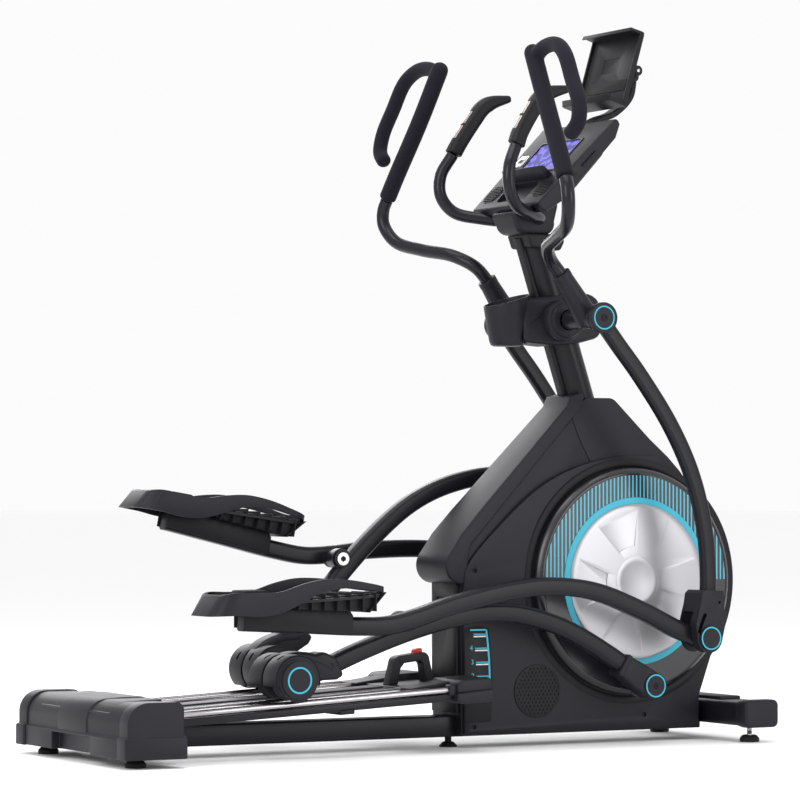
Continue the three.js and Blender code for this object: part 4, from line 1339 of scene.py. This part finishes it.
class TRAINER_OT_pedals(Operator):
    """Pedals: a boat-shaped lip around a ribbed tread, with webs below the toe"""

    bl_idname = "trainer.pedals"
    bl_label = "Pedals"

    def execute(self, context):
        top = curve_through([
            (HEEL_X - 50, 336, 0), (HEEL_X - 26, 360, 0), (HEEL_X + 8, 384, 0), (HEEL_X + 84, 386, 0),
            (HEEL_X + 140, 389, 0), (HEEL_X + 190, 404, 0), (HEEL_X + 245, 415, 0), (HEEL_X + 310, 414, 0),
            (TOE_X - 50, 405, 0), (TOE_X + 4, 394, 0)], 5)
        low = curve_through([
            (TOE_X + 4, 383, 0), (TOE_X - 60, 391, 0), (TOE_X - 120, 394, 0), (TOE_X - 180, 384, 0),
            (TOE_X - 230, 362, 0), (TOE_X - 280, 341, 0), (TOE_X - 330, 333, 0), (HEEL_X + 30, 336, 0),
            (HEEL_X - 50, 334, 0)], 5)
        lip = self.flared(plate("pedal_lip_right", pedal_plan(0), 300, 440, self.level))
        cut(lip, self.flared(plate("well", pedal_plan(7), 290, 450, self.level)))
        kept_inside(lip, plate("band", [(p[0], p[1]) for p in (*top, *low)], -140, -310))
        bevelled(lip, 2.2, 3, 40)
        deck = self.flared(plate("deck", pedal_plan(5), 300, 440, self.level))
        surface = [(HEEL_X - 10, 368), (HEEL_X + 150, 366), (TOE_X - 100, 374), (TOE_X + 10, 380)]
        kept_inside(deck, plate("slab", surface + [(x, z - 6) for x, z in reversed(surface)], -140, -310))
        parts = [dressed(lip, "shell"), dressed(deck, "shell")]
        for i in range(RIBS):
            y = -PEDAL_Y - 48 + i * RIB_PITCH
            rib = sweep("tread_rib", [(x, y, z + 1) for x, z in (
                (HEEL_X + 46, 367), (HEEL_X + 150, 366), (TOE_X - 100, 374), (TOE_X - 46, 378))],
                rounded_box(5, 5, 1.6, 2), 40, 1)
            parts.append(dressed(rib, "rubber"))
        parts.append(self.pan())
        side = [(HEEL_X + 60, 366), (HEEL_X + 66, 391), (HEEL_X + 120, 392), (HEEL_X + 134, 370)]
        pad = plate("heel_pad", side, -PEDAL_Y - 34, -PEDAL_Y + 34)
        parts.append(dressed(bevelled(pad, 3, 3), "trim"))
        both(joined(*parts), "pedal_lip", "pedal_link", "shell", "pedal")
        return {"FINISHED"}

    def level(self, a, b, c):
        return (a, -PEDAL_Y + b, c)

    def flared(self, piece):
        """Leans the heel end outwards as it goes down."""
        for vertex in piece.data.vertices:
            near = clamped((HEEL_X + HEEL_RUN - vertex.co.x / MM) / HEEL_RUN)
            vertex.co.x -= (HEEL_TOP * MM - vertex.co.z) * HEEL_FLARE * near
        return piece

    def pan(self):
        """The hollow under the toe, its cross webs and the plates that hold the tube."""
        body = plate("pan", [(-452, 372), (-448, 350), (-420, 346), (-262, 338), (-240, 352), (-216, 382)],
                     -PEDAL_Y - 46, -PEDAL_Y + 46)
        parts = [bevelled(body, 4, 3)]
        for i in range(WEBS):
            x = -444 + i * WEB_PITCH
            foot = 345 - i * WEB_RISE
            web = plate("web", [(x, foot), (x, 384), (x + 3.4, 384), (x + 3.4, foot)],
                        -PEDAL_Y - 61, -PEDAL_Y + 61)
            parts.append(bevelled(web, 1, 2))
        toe = [(-262, 338), (-218, 382), (-212, 384), (-256, 337)]
        toe_web = plate("toe_web", toe, -PEDAL_Y - 54, -PEDAL_Y + 54)
        parts.append(bevelled(toe_web, 1.5, 2))
        for way in (-1, 1):
            y = -PEDAL_Y + way * 23.5
            side = [(-566, 306), (-566, 352), (-296, 344), (-286, 330), (-286, 292), (-300, 288)]
            cheek = plate("cheek", side, y, y + way * 3)
            parts.append(bevelled(cheek, 1, 2))
        return dressed(joined(*parts), "trim")


# ---------- swing arms ----------
SWING_PATH = [(392, 1022), (436, 968), (500, 892), (588, 770), (648, 652), (684, 520), (694, 400),
    (690, 330)]
SLEEVE_TOP = (315, 1132)


class TRAINER_OT_swing_arms(Operator):
    """Swing arms: pivot barrel, handlebar sleeve and the long curved tube"""

    bl_idname = "trainer.swing_arms"
    bl_label = "Swing arms"

    def execute(self, context):
        tube = sweep("swing_arm_tube_right", side_path(SWING_PATH, -SWING_Y), rounded_box(28, 40, 11), 8)
        barrel = right_drum("pivot_barrel", SWING, 24, 100, BARREL_END_Y - 4, 2)
        collar = right_drum("barrel_collar", SWING, 27, 212, 226, 2)
        start = (SWING[0] + 6, -SLEEVE_Y, SWING[1] - 8)
        top = (SLEEVE_TOP[0] - 2, -SLEEVE_Y, SLEEVE_TOP[1] + 3)
        middle = tuple((a + b) / 2 for a, b in zip(start, top))
        sleeve = sweep("handlebar_sleeve", [start, middle, top], circle(25, 40), 12, 3,
                       widen=lambda t: (1.24 - 0.34 * t, 1.24 - 0.34 * t))
        lip = sweep("sleeve_lip", [
            (SLEEVE_TOP[0] + 7, -SLEEVE_Y, SLEEVE_TOP[1] - 10), (SLEEVE_TOP[0], -SLEEVE_Y, SLEEVE_TOP[1]),
            (SLEEVE_TOP[0] - 3, -SLEEVE_Y, SLEEVE_TOP[1] + 4)], circle(24, 40), 5, 2)
        parts = [
            dressed(barrel, "coat"), dressed(collar, "coat"), dressed(sleeve, "shell"), dressed(lip, "shell"),
            ringed_cap("barrel_cap", SWING, 37, BARREL_END_Y + 3, 14, 28.7, 3.4, 9)]
        both(joined(dressed(tube, "coat"), *parts), "swing_arm_tube", "swing", "tube", "swing_arm")
        return {"FINISHED"}


class TRAINER_OT_knee_covers(Operator):
    """Knee covers at the foot of the swing arms, and the ringed heads of the knee bolts"""

    bl_idname = "trainer.knee_covers"
    bl_label = "Knee covers"

    def execute(self, context):
        x, z = KNEE
        cheek = [
            *arc(KNEE, 35, 196, 352, 22), (x + 47, z + 44), (x + 47, z + 62), (x + 41, z + 70),
            (x + 39, z + 114), (x - 13, z + 116), (x - 22, z + 108), (x - 26, z + 84), (x - 40, z + 34)]
        body = plate("knee_shell_right", cheek, -197, -275)
        fork = plate("fork", [(x - 60, z - 60), (x + 60, z - 60), (x + 60, z + 64), (x - 60, z + 64)],
                     -PEDAL_Y + 22.8, -PEDAL_Y - 22.8)
        slot = sweep("slot", [(x - 13, -270, z + 60), (x - 24, -270, z + 36), (x - 32, -270, z + 12)],
                     rounded_box(16, 11, 5), 6, 3)
        hole = right_drum("hole", (x + 27, z + 86), 3.4, 268, 280, 0.2, 24)
        cut(body, fork, hole)
        bevelled(body, 6, 5, 40)
        cut(body, slot)
        both(dressed(body, "shell"), "knee_shell", "swing", "shell", "knee_cover")
        cap = ringed_cap("knee_bolt_head_right", KNEE, 30, 281, 7, 28, 3.4)
        pin = right_drum("pin", KNEE, 8, 202, 276, 1, 40)
        both(joined(cap, dressed(pin, "steel")), "knee_bolt_head", "knee", "dark_shell", "knee_bolt")
        return {"FINISHED"}


# ---------- handlebars ----------
def outboard(points):
    """Points given as (x, distance from the middle, z), on the right-hand side."""
    return [(x, -y, z) for x, y, z in points]


HANDLE_PATH = [
    (351, 180, 1080), (SLEEVE_TOP[0], 180, SLEEVE_TOP[1]), (283, 186, 1166), (246, 232, 1194),
    (212, 330, 1212), (184, 424, 1238), (168, 457, 1282), (166, 456, 1318), (168.6, 444, 1342)]
GRIP_PATH = [(168.8, 442, 1345), (175, 405, 1402), (190, 318, 1530), (203, 228, 1672)]
LOOP_PATH = [
    (201, 246, 1642), (202, 290, 1662), (199, 350, 1663), (191, 402, 1636), (184, 448, 1572),
    (178, 488, 1512), (173, 492, 1468), (169, 458, 1438)]


class TRAINER_OT_handlebars(Operator):
    """Moving handlebars: the glossy bent tube and the foam grip with its loop"""

    bl_idname = "trainer.handlebars"
    bl_label = "Handlebars and foam"

    def execute(self, context):
        bar = pipe("handlebar_tube_right", outboard(HANDLE_PATH), 16, step=6)
        both(dressed(bar, "tube"), "handlebar_tube", "swing", "tube", "handlebar")
        grip = pipe("foam_loop_right", outboard(GRIP_PATH), 21.5, step=7, cap=4, cap_end=20.5)
        loop = pipe("loop", outboard(LOOP_PATH), 18.5, step=6, cap=2, cap_end=9)
        apply_modifier(grip, "BOOLEAN", operation="UNION", solver="EXACT", object=loop)
        bpy.data.objects.remove(loop)
        apply_modifier(grip, "REMESH", mode="VOXEL", voxel_size=0.0032)
        apply_modifier(grip, "SMOOTH", factor=0.5, iterations=6)
        for half in both(dressed(grip, "foam"), "foam_loop", "swing", "foam", "foam_grip"):
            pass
        return {"FINISHED"}


# ---------- pivot shroud ----------
CUP = (268, 0)
# The shroud narrows to the rear from this place, over this run, by this share.
SHROUD_FROM = 400
SHROUD_RUN = 120
SHROUD_TAPER = 0.14
SHROUD_SEAM = [(292, 1012), (340, 1044), (380, 1070), (420, 1100)]


class TRAINER_OT_shroud(Operator):
    """Cover around the swing pivot, with its collars and the bottle cup"""

    bl_idname = "trainer.shroud"
    bl_label = "Pivot shroud"

    def execute(self, context):
        outline = [
            (286, 975), (380, 968), (440, 974), (496, 988), (508, 1008), (505, 1064), (494, 1086),
            (470, 1098), (400, 1092), (286, 1080)]
        body = plate("pivot_shroud_body", outline, -57, 57)
        for vertex in body.data.vertices:
            share = clamped((SHROUD_FROM - vertex.co.x / MM) / SHROUD_RUN)
            vertex.co.y *= 1 - SHROUD_TAPER * share
        seams = [groove("seam", SHROUD_SEAM, y, y + 20, 1.6) for y in (-70, 50)]
        bevelled(body, 14, 6)
        cut(body, *seams)
        cup_wall = turned("cup", [
            (0, 966), (33, 966), (39, 969), (43, 978), (56, 1056), (57.6, 1078), (57.6, 1100), (53.5, 1100),
            (52.5, 1056), (40, 982), (37, 973), (0, 973)], CUP, 72, "Z")
        cut(cup_wall, plate("rim_slant", [(200, 1058), (336, 1098), (336, 1120), (200, 1120)], -70, 70))
        bevelled(cup_wall, 1.4, 3)
        bore = drum("bore", CUP, 50, 973, 1110, 0.5, 48, "Z")
        cut(body, bore)
        parts = [dressed(cup_wall, "shell")]
        for way in (-1, 1):
            profile = [(25.5, 50), (50, 50), (50, 80), (48.5, 82), (44, 83.5), (43.5, 88), (41, 92),
                (34, 94), (25.5, 94)]
            collar = turned("collar", [(r, way * d) for r, d in profile], SWING, 72)
            parts.append(dressed(collar, "shell"))
        seat(joined(dressed(body, "shell"), *parts), "frame", "shell", "pivot_shroud")
        return {"FINISHED"}


# ---------- console ----------
PANEL_LOW = (262, 1306)
PANEL_HALF = 172
PANEL_LENGTH = 297
PANEL_TILT = math.radians(45)
BODY_TAPER = 0.07
BODY_HEIGHT = 210
POD_TOP = 1320
POD_HEIGHT = 85
POD_TAPER = 0.22
SPEAKER_Y = 118
SPEAKER_U = 54
SPEAKER_RIBS = 9
SPEAKER_PITCH = 6
FLANK_SHARE = 0.985


def panel_at(u, depth):
    """A point (x, z) u up the face of the console and depth into it."""
    c, s = math.cos(PANEL_TILT), math.sin(PANEL_TILT)
    return (PANEL_LOW[0] + c * u + s * depth, PANEL_LOW[1] + s * u - c * depth)


def panel_place(u, y, depth):
    x, z = panel_at(u, depth)
    return (x, y, z)


def face_box(u0, u1, y0, y1, r=4):
    """A round-cornered outline on the face of the console."""
    box = rounded_box(u1 - u0, y1 - y0, r, 4)
    return [(u + (u0 + u1) / 2, y + (y0 + y1) / 2) for u, y in box]


class TRAINER_OT_console(Operator):
    """Console: slanted panel, display, ledge, speakers, tray, pod and keys"""

    bl_idname = "trainer.console"
    bl_label = "Console"

    def execute(self, context):
        side = [
            panel_at(0, 0), panel_at(PANEL_LENGTH, 0), panel_at(PANEL_LENGTH + 5, 8),
            panel_at(PANEL_LENGTH + 2, 20), panel_at(PANEL_LENGTH - 30, 36), panel_at(60, 46),
            panel_at(2, 32), panel_at(-4, 14)]
        body = plate("console_body", side, -PANEL_HALF, PANEL_HALF)
        for vertex in body.data.vertices:
            height = (vertex.co.z / MM - PANEL_LOW[1]) / BODY_HEIGHT
            vertex.co.y *= 0.93 + BODY_TAPER * clamped(height)
        bevelled(body, 11, 6)
        cut(body,
            plate("tray", face_box(20, 84, -70, 70, 14), -12, 13, panel_place),
            plate("window", face_box(126, 234, -96, 96, 6), -5, 1.5, panel_place),
            plate("keys", face_box(149, 195, 103, 149, 8), -5, 3, panel_place))
        parts = [dressed(body, "shell")]
        lower = plate("console_pod", [
            panel_at(2, 20), panel_at(120, 40), panel_at(84, 84), *arc((352, 1262), 24, 20, -90, 6),
            *arc((290, 1264), 26, 270, 190, 6), (250, 1292)], -64, 64)
        for vertex in lower.data.vertices:
            drop = clamped((POD_TOP - vertex.co.z / MM) / POD_HEIGHT)
            vertex.co.y *= 1.0 - POD_TAPER * drop
        parts.append(dressed(bevelled(lower, 16, 6), "shell"))
        under = [panel_at(40, 38), panel_at(262, 34), panel_at(240, 58), panel_at(110, 62)]
        belly = plate("console_belly", under, -126, 126)
        parts.append(dressed(bevelled(belly, 14, 5), "shell"))
        foot = [(296, 1240), (398, 1240), (404, 1222), (392, 1200), (308, 1206)]
        clamp = plate("console_clamp", foot, -50, 50)
        parts.append(dressed(bevelled(clamp, 6, 4), "trim"))
        frame_strip = plate("display_frame", face_box(122, 238, -100, 100, 8), -1.6, 2, panel_place)
        cut(frame_strip, plate("opening", face_box(128, 232, -92, 92, 4), -9, 9, panel_place))
        parts.append(dressed(bevelled(frame_strip, 0.7, 2, 50), "window"))
        ledge = plate("ledge", [
            panel_at(92, 2), panel_at(94, -24), panel_at(98, -33), panel_at(103, -34), panel_at(107, -26),
            panel_at(110, 2)],
            -96, 96)
        parts.append(dressed(bevelled(ledge, 3, 3), "shell"))
        parts += self.speakers() + self.side_slots()
        seat(joined(*parts), "frame", "shell", "console")
        lcd = plate("display_glass", face_box(128.6, 231.4, -91.4, 91.4, 3), 0.2, 3.4, panel_place)
        seat(dressed(lcd, "lcd"), "frame", "screen", "display")
        key = plate("start_key_cap", face_box(151, 193, 105, 147, 6), -3, 4, panel_place)
        bevelled(key, 1.6, 3)
        mark = plate("key_mark", face_box(166, 178, 116, 136, 5), -3.6, -2.4, panel_place)
        seat(joined(dressed(key, "steel"), dressed(mark, "trim")), "start_button", "silver", "start_key")
        return {"FINISHED"}

    def speakers(self):
        """Ribbed speaker covers at the lower corners."""
        parts = []
        for way in (-1, 1):
            y = way * SPEAKER_Y
            well = plate("speaker", face_box(24, 84, y - 34, y + 34, 22), -0.8, 3, panel_place)
            parts.append(dressed(bevelled(well, 0.7, 2, 50), "trim"))
            for i in range(SPEAKER_RIBS):
                u = 30 + i * SPEAKER_PITCH
                reach = 31 * math.sqrt(max(0.15, 1 - ((u - SPEAKER_U) / 34) ** 2))
                rib = plate("rib", face_box(u, u + 2.6, y - reach, y + reach, 1.2), -2.6, 0, panel_place)
                parts.append(dressed(rib, "trim"))
        return parts

    def side_slots(self):
        """Long slots in the flanks of the console."""
        parts = []
        for way in (-1, 1):
            for u in (150, 70):
                y = way * (PANEL_HALF * FLANK_SHARE)
                outline = [panel_at(u, 18), panel_at(u + 54, 18), panel_at(u + 54, 24), panel_at(u, 24)]
                strip = plate("slot", outline, y - 3, y + 1.6 * way)
                parts.append(dressed(strip, "trim"))
        return parts


# ---------- tablet holder ----------
TABLET_LOW = (536, 1560)
TABLET_HIGH = (588, 1738)
TABLET_HALF = 112
STALK_EYE = (620, 1640)


class TRAINER_OT_tablet(Operator):
    """Tablet holder with its lips and rim, on a curved arm"""

    bl_idname = "trainer.tablet"
    bl_label = "Tablet holder"

    def execute(self, context):
        turn = heading(TABLET_LOW, TABLET_HIGH)
        tall = math.dist(TABLET_LOW, TABLET_HIGH)

        def at(u, d):
            return (TABLET_LOW[0] + u * math.cos(turn) - d * math.sin(turn),
                    TABLET_LOW[1] + u * math.sin(turn) + d * math.cos(turn))

        def on_face(u, y, d):
            x, z = at(u, d)
            return (x, y, z)

        face = [(u + tall / 2, y) for u, y in rounded_box(tall, 2 * TABLET_HALF, 8)]
        panel = plate("tablet_panel", face, -7, 0, on_face)
        cut(panel, plate("stamp", [(u + 108, y) for u, y in rounded_box(40, 74, 4)], -1, 3, on_face))
        parts = [bevelled(panel, 1.4, 3, 40)]
        top = [at(tall - 7, -7), at(tall, -6), at(tall + 2, 0), at(tall + 1, 35), at(tall - 9, 37),
               at(tall - 9, 33), at(tall - 5, 30), at(tall - 6, 0)]
        low = [at(-5, -7), at(4, -2), at(6, 4), at(3, 38), at(13, 45), at(11, 49), at(-4, 44), at(-5, 38)]
        for outline in (top, low):
            parts.append(bevelled(plate("lip", outline, -TABLET_HALF, TABLET_HALF), 1.2, 3))
        for way in (-1, 1):
            edge = way * (TABLET_HALF - 2)
            rim = plate("rim", [at(2, -2), at(tall - 4, -2), at(tall - 4, 6), at(2, 6)], edge - 3, edge + 3)
            parts.append(bevelled(rim, 1.5, 3))
        for part in parts:
            dressed(part, "trim")
        pad = plate("rubber_band", [(u + 52, y) for u, y in rounded_box(30, 190, 3)], -0.5, 1.4, on_face)
        parts.append(dressed(bevelled(pad, 0.6, 2), "rubber"))
        for way in (-1, 1):
            outline = [at(62, -5), at(104, -5), *arc(TABLET_HINGE, 13, 50, -110, 14)]
            ear = plate("ear", outline, way * 24, way * 35)
            parts.append(dressed(bevelled(ear, 2, 3), "trim"))
            profile = [(0, 34), (12, 34), (13, 36), (13, 43), (11, 45), (0, 45)]
            knob = turned("knob", [(r, way * d) for r, d in profile], TABLET_HINGE, 18)
            parts.append(dressed(knob, "trim"))
            parts.append(dressed(drum("pin", TABLET_HINGE, 4.5, way * 44, way * 46.4, 0.8, 24), "steel"))
        seat(joined(*parts), "tablet_tray", "dark_shell", "tablet_holder")
        path = [panel_at(PANEL_LENGTH - 40, 22), (508, 1521), (568, 1546), (612, 1588), (622, 1630)]
        stalk = sweep("tablet_stalk", side_path(path, 0), rounded_box(44, 16, 5), 7, 3)
        eye = drum("eye", STALK_EYE, 14, -22, 22, 2, 40)
        seat(joined(dressed(stalk, "trim"), dressed(eye, "trim")), "frame", "dark_shell", "tablet_arm")
        return {"FINISHED"}


# ---------- fixed handlebar ----------
FIXED_PATH = [
    (204, 154, 1442), (178, 168, 1390), (178, 168, 1340), (205, 152, 1300), (262, 118, 1284),
    (320, 70, 1276), (338, 0, 1274)]
PULSE_PATH = [(205, 153.6, 1443.2), (219, 147, 1472), (258, 141, 1531), (279, 139, 1558), (302, 139, 1572),
    (352, 141, 1584)]


def half_sleeve(r, thick, start, stop):
    """Section of a plate bent over part of the grip."""
    return [*arc((0, 0), r, start, stop, 14), *arc((0, 0), r - thick, stop, start, 14)]


# The tip of a grip begins at this share of its length, and ends this much wider and flatter.
HORN_START = 0.72
HORN_WIDER = 0.12
HORN_FLATTER = 0.52
PLATE_STARTS = (34, 77)


class TRAINER_OT_fixed_bar(Operator):
    """Fixed handlebar, its flat-tipped grips and the pulse plates"""

    bl_idname = "trainer.fixed_bar"
    bl_label = "Fixed handlebar"

    def execute(self, context):
        right = outboard(FIXED_PATH)
        left = [(x, -y, z) for x, y, z in right[-2::-1]]
        bar = pipe("fixed_handlebar_tube", right + left, 15, step=6)
        seat(dressed(bar, "tube"), "frame", "tube", "fixed_handlebar")

        def horn(t):
            tip = max(0.0, (t - HORN_START) / (1 - HORN_START))
            return (1 + HORN_WIDER * tip, 1 - HORN_FLATTER * tip)

        grip = sweep("pulse_grip_body_right", outboard(PULSE_PATH), rounded_box(38, 38, 13), 5, 3, 4,
            widen=horn)
        path = curve_through(outboard(PULSE_PATH), 14)
        route = Route(path, True)
        parts = []
        for start in PLATE_STARTS:
            stretch = [route.station(start + i * 6)[0] for i in range(7)]
            sleeve = sweep("pulse_plate", stretch, half_sleeve(20.4, 1.6, 40, 140), 6, 0.5, raw=True)
            parts.append(dressed(sleeve, "pulse"))
            section = [(u, -v) for u, v in half_sleeve(20.2, 1.4, 60, 120)]
            front = sweep("front_strip", stretch, section, 6, 0.5, raw=True)
            parts.append(dressed(front, "pulse"))
        both(joined(dressed(grip, "trim"), *parts), "pulse_grip_body", "frame", "pulse", "pulse_grip")
        return {"FINISHED"}


# ---------- rail bed ----------
RAIL_AT = (-420, 126.7)
HANDLE_GAP = 6.6


def rail_z(x):
    """Height of the middle of a rod."""
    return RAIL_AT[1] + RAIL_SLOPE * (x - RAIL_AT[0])


def band(name, x0, x1, y0, y1, up, down, edge=2, key="coat"):
    outline = [(x0, rail_z(x0) - down), (x1, rail_z(x1) - down), (x1, rail_z(x1) + up),
        (x0, rail_z(x0) + up)]
    return dressed(bevelled(plate(name, outline, y0, y1), edge, 3), key)


class TRAINER_OT_rails(Operator):
    """Rail bed: bars, chrome rods, front brackets, middle cover and the lift handle"""

    bl_idname = "trainer.rails"
    bl_label = "Rail bed"

    def execute(self, context):
        parts = []
        for way in (-1, 1):
            for y in RAILS_Y:
                parts.append(band("bar", -716, 8, way * (y - 9), way * (y + 9), -RAIL_R - 0.4, 26))
                node = f"{'outer' if y == RAILS_Y[1] else 'inner'}_rail_{'right' if way < 0 else 'left'}"
                path = [(x, way * y, rail_z(x)) for x in (-710, -360, 1)]
                rod = pipe(f"{node}_rod", path, RAIL_R, step=120)
                seat(dressed(rod, "chrome"), "rail_bed", "chrome", node)
            parts += self.bracket(way)
            parts.append(band("cross_stop", -300, -262, way * 116, way * 214, -20, 34, 2))
        parts.append(band("middle_cover", -790, -6, -60, 60, 3, 26, 5, "shell"))
        parts.append(band("middle_ridge", -780, -90, -34, 34, 7, 0, 4, "shell"))
        parts.append(band("front_bridge", -72, 62, -100, 100, 6, 26, 5, "shell"))
        parts.append(band("rear_beam", -790, -712, -216, 216, -6, 26))
        lug = plate("lug", [(-827, 93), (-780, 84), (-780, 110), (-827, 115)], -60, 60)
        parts.append(dressed(bevelled(lug, 2, 3), "coat"))
        trunnion = drum("rail_bed_trunnion", RAIL_PIVOT, 11, -216, 216, 1, 40)
        seat(joined(dressed(trunnion, "steel"), *parts), "rail_bed", "paint", "rail_frame")
        self.handle()
        return {"FINISHED"}

    def bracket(self, way):
        """The stepped black end piece that holds the front of two rods."""
        upper = plate("bracket", [
            (4, rail_z(2) - 8), (4, rail_z(2) + 14), (16, rail_z(20) + 22), (92, rail_z(92) + 22),
            (97, rail_z(92) + 14), (97, rail_z(98) - 8)], way * 88, way * 228)
        lower = plate("bracket_foot", [
            (1, rail_z(2) - 8), (99, rail_z(98) - 4), (99, rail_z(98) - 34), (18, rail_z(20) - 34),
            (1, rail_z(2) - 28)],
            way * 85, way * 233)
        nose = plate("bracket_nose", [
            (-14, rail_z(0) - 13), (-14, rail_z(0) + 11), (6, rail_z(0) + 14), (6, rail_z(0) - 16)],
            way * (RAILS_Y[1] - 14), way * (RAILS_Y[1] + 14))
        side = [(-96, rail_z(-96) + 3), (-96, rail_z(-96) + 9), (10, rail_z(0) + 18), (10, rail_z(0) + 4)]
        tongue = plate("tongue", side, way * 96, way * 180)
        with_edges = ((upper, 6), (lower, 5), (nose, 5), (tongue, 2.5))
        return [dressed(bevelled(part, width, 4), "shell") for part, width in with_edges]

    def handle(self):
        def seat_z(x):
            return rail_z(x) + HANDLE_GAP

        grip = plate("lift_handle_grip", [
            (-66, seat_z(-66)), (-56, 190), *arc((-34, 204), 18, 175, 100, 6), (26, 229),
            *arc((26, 212), 18, 80, 20, 5), (58, seat_z(58)), (34, seat_z(34)), (27, 202), (20, 209),
            (-24, 204), (-34, 192), (-42, seat_z(-42))],
            -16, 16)
        cut(grip, plate("well", [(4.5, 221), (6, 244), (31, 246), (30, 224)], -10, 10))
        screw = socket_screw("screw", (-36, 210), 4, 15)
        seat(joined(dressed(bevelled(grip, 4.5, 4), "shell"), screw), "rail_bed", "shell", "lift_handle")
        cap = [(6, 226), (8.5, 235), (12, 237.5), (26, 239), (28, 237), (28.4, 228)]
        button = plate("release_button_cap", cap, -9, 9)
        seat(dressed(bevelled(button, 1.8, 4), "red"), "release", "red", "release_button")


# ---------- panel, registration and the build ----------
PIECES = (
    TRAINER_OT_stage, TRAINER_OT_base, TRAINER_OT_housing, TRAINER_OT_drive, TRAINER_OT_cranks,
    TRAINER_OT_roller_arms, TRAINER_OT_fenders, TRAINER_OT_pedal_arms, TRAINER_OT_pedals,
    TRAINER_OT_swing_arms, TRAINER_OT_knee_covers, TRAINER_OT_handlebars, TRAINER_OT_shroud,
    TRAINER_OT_console, TRAINER_OT_tablet, TRAINER_OT_fixed_bar, TRAINER_OT_rails,
)


class TRAINER_PT_panel(Panel):
    """Lists the pieces and the settings of the trainer"""

    bl_label = "Elliptical Trainer"
    bl_idname = "TRAINER_PT_panel"
    bl_space_type = "VIEW_3D"
    bl_region_type = "UI"
    bl_category = "Trainer"

    def draw(self, context):
        for group in (context.scene.trainer_sizes, context.scene.trainer_colours):
            for name in group.__annotations__:
                self.layout.prop(group, name)
        for piece in PIECES:
            self.layout.operator(piece.bl_idname)


CLASSES = (TrainerSizes, TrainerColours, *PIECES, TRAINER_PT_panel)


def register():
    for cls in CLASSES:
        bpy.utils.register_class(cls)
    bpy.types.Scene.trainer_sizes = PointerProperty(type=TrainerSizes)
    bpy.types.Scene.trainer_colours = PointerProperty(type=TrainerColours)


def unregister():
    del bpy.types.Scene.trainer_colours
    del bpy.types.Scene.trainer_sizes
    for cls in reversed(CLASSES):
        bpy.utils.unregister_class(cls)


def main():
    register()
    for piece in PIECES:
        group, name = piece.bl_idname.split(".")
        getattr(getattr(bpy.ops, group), name)()


if __name__ == "__main__":
    main()
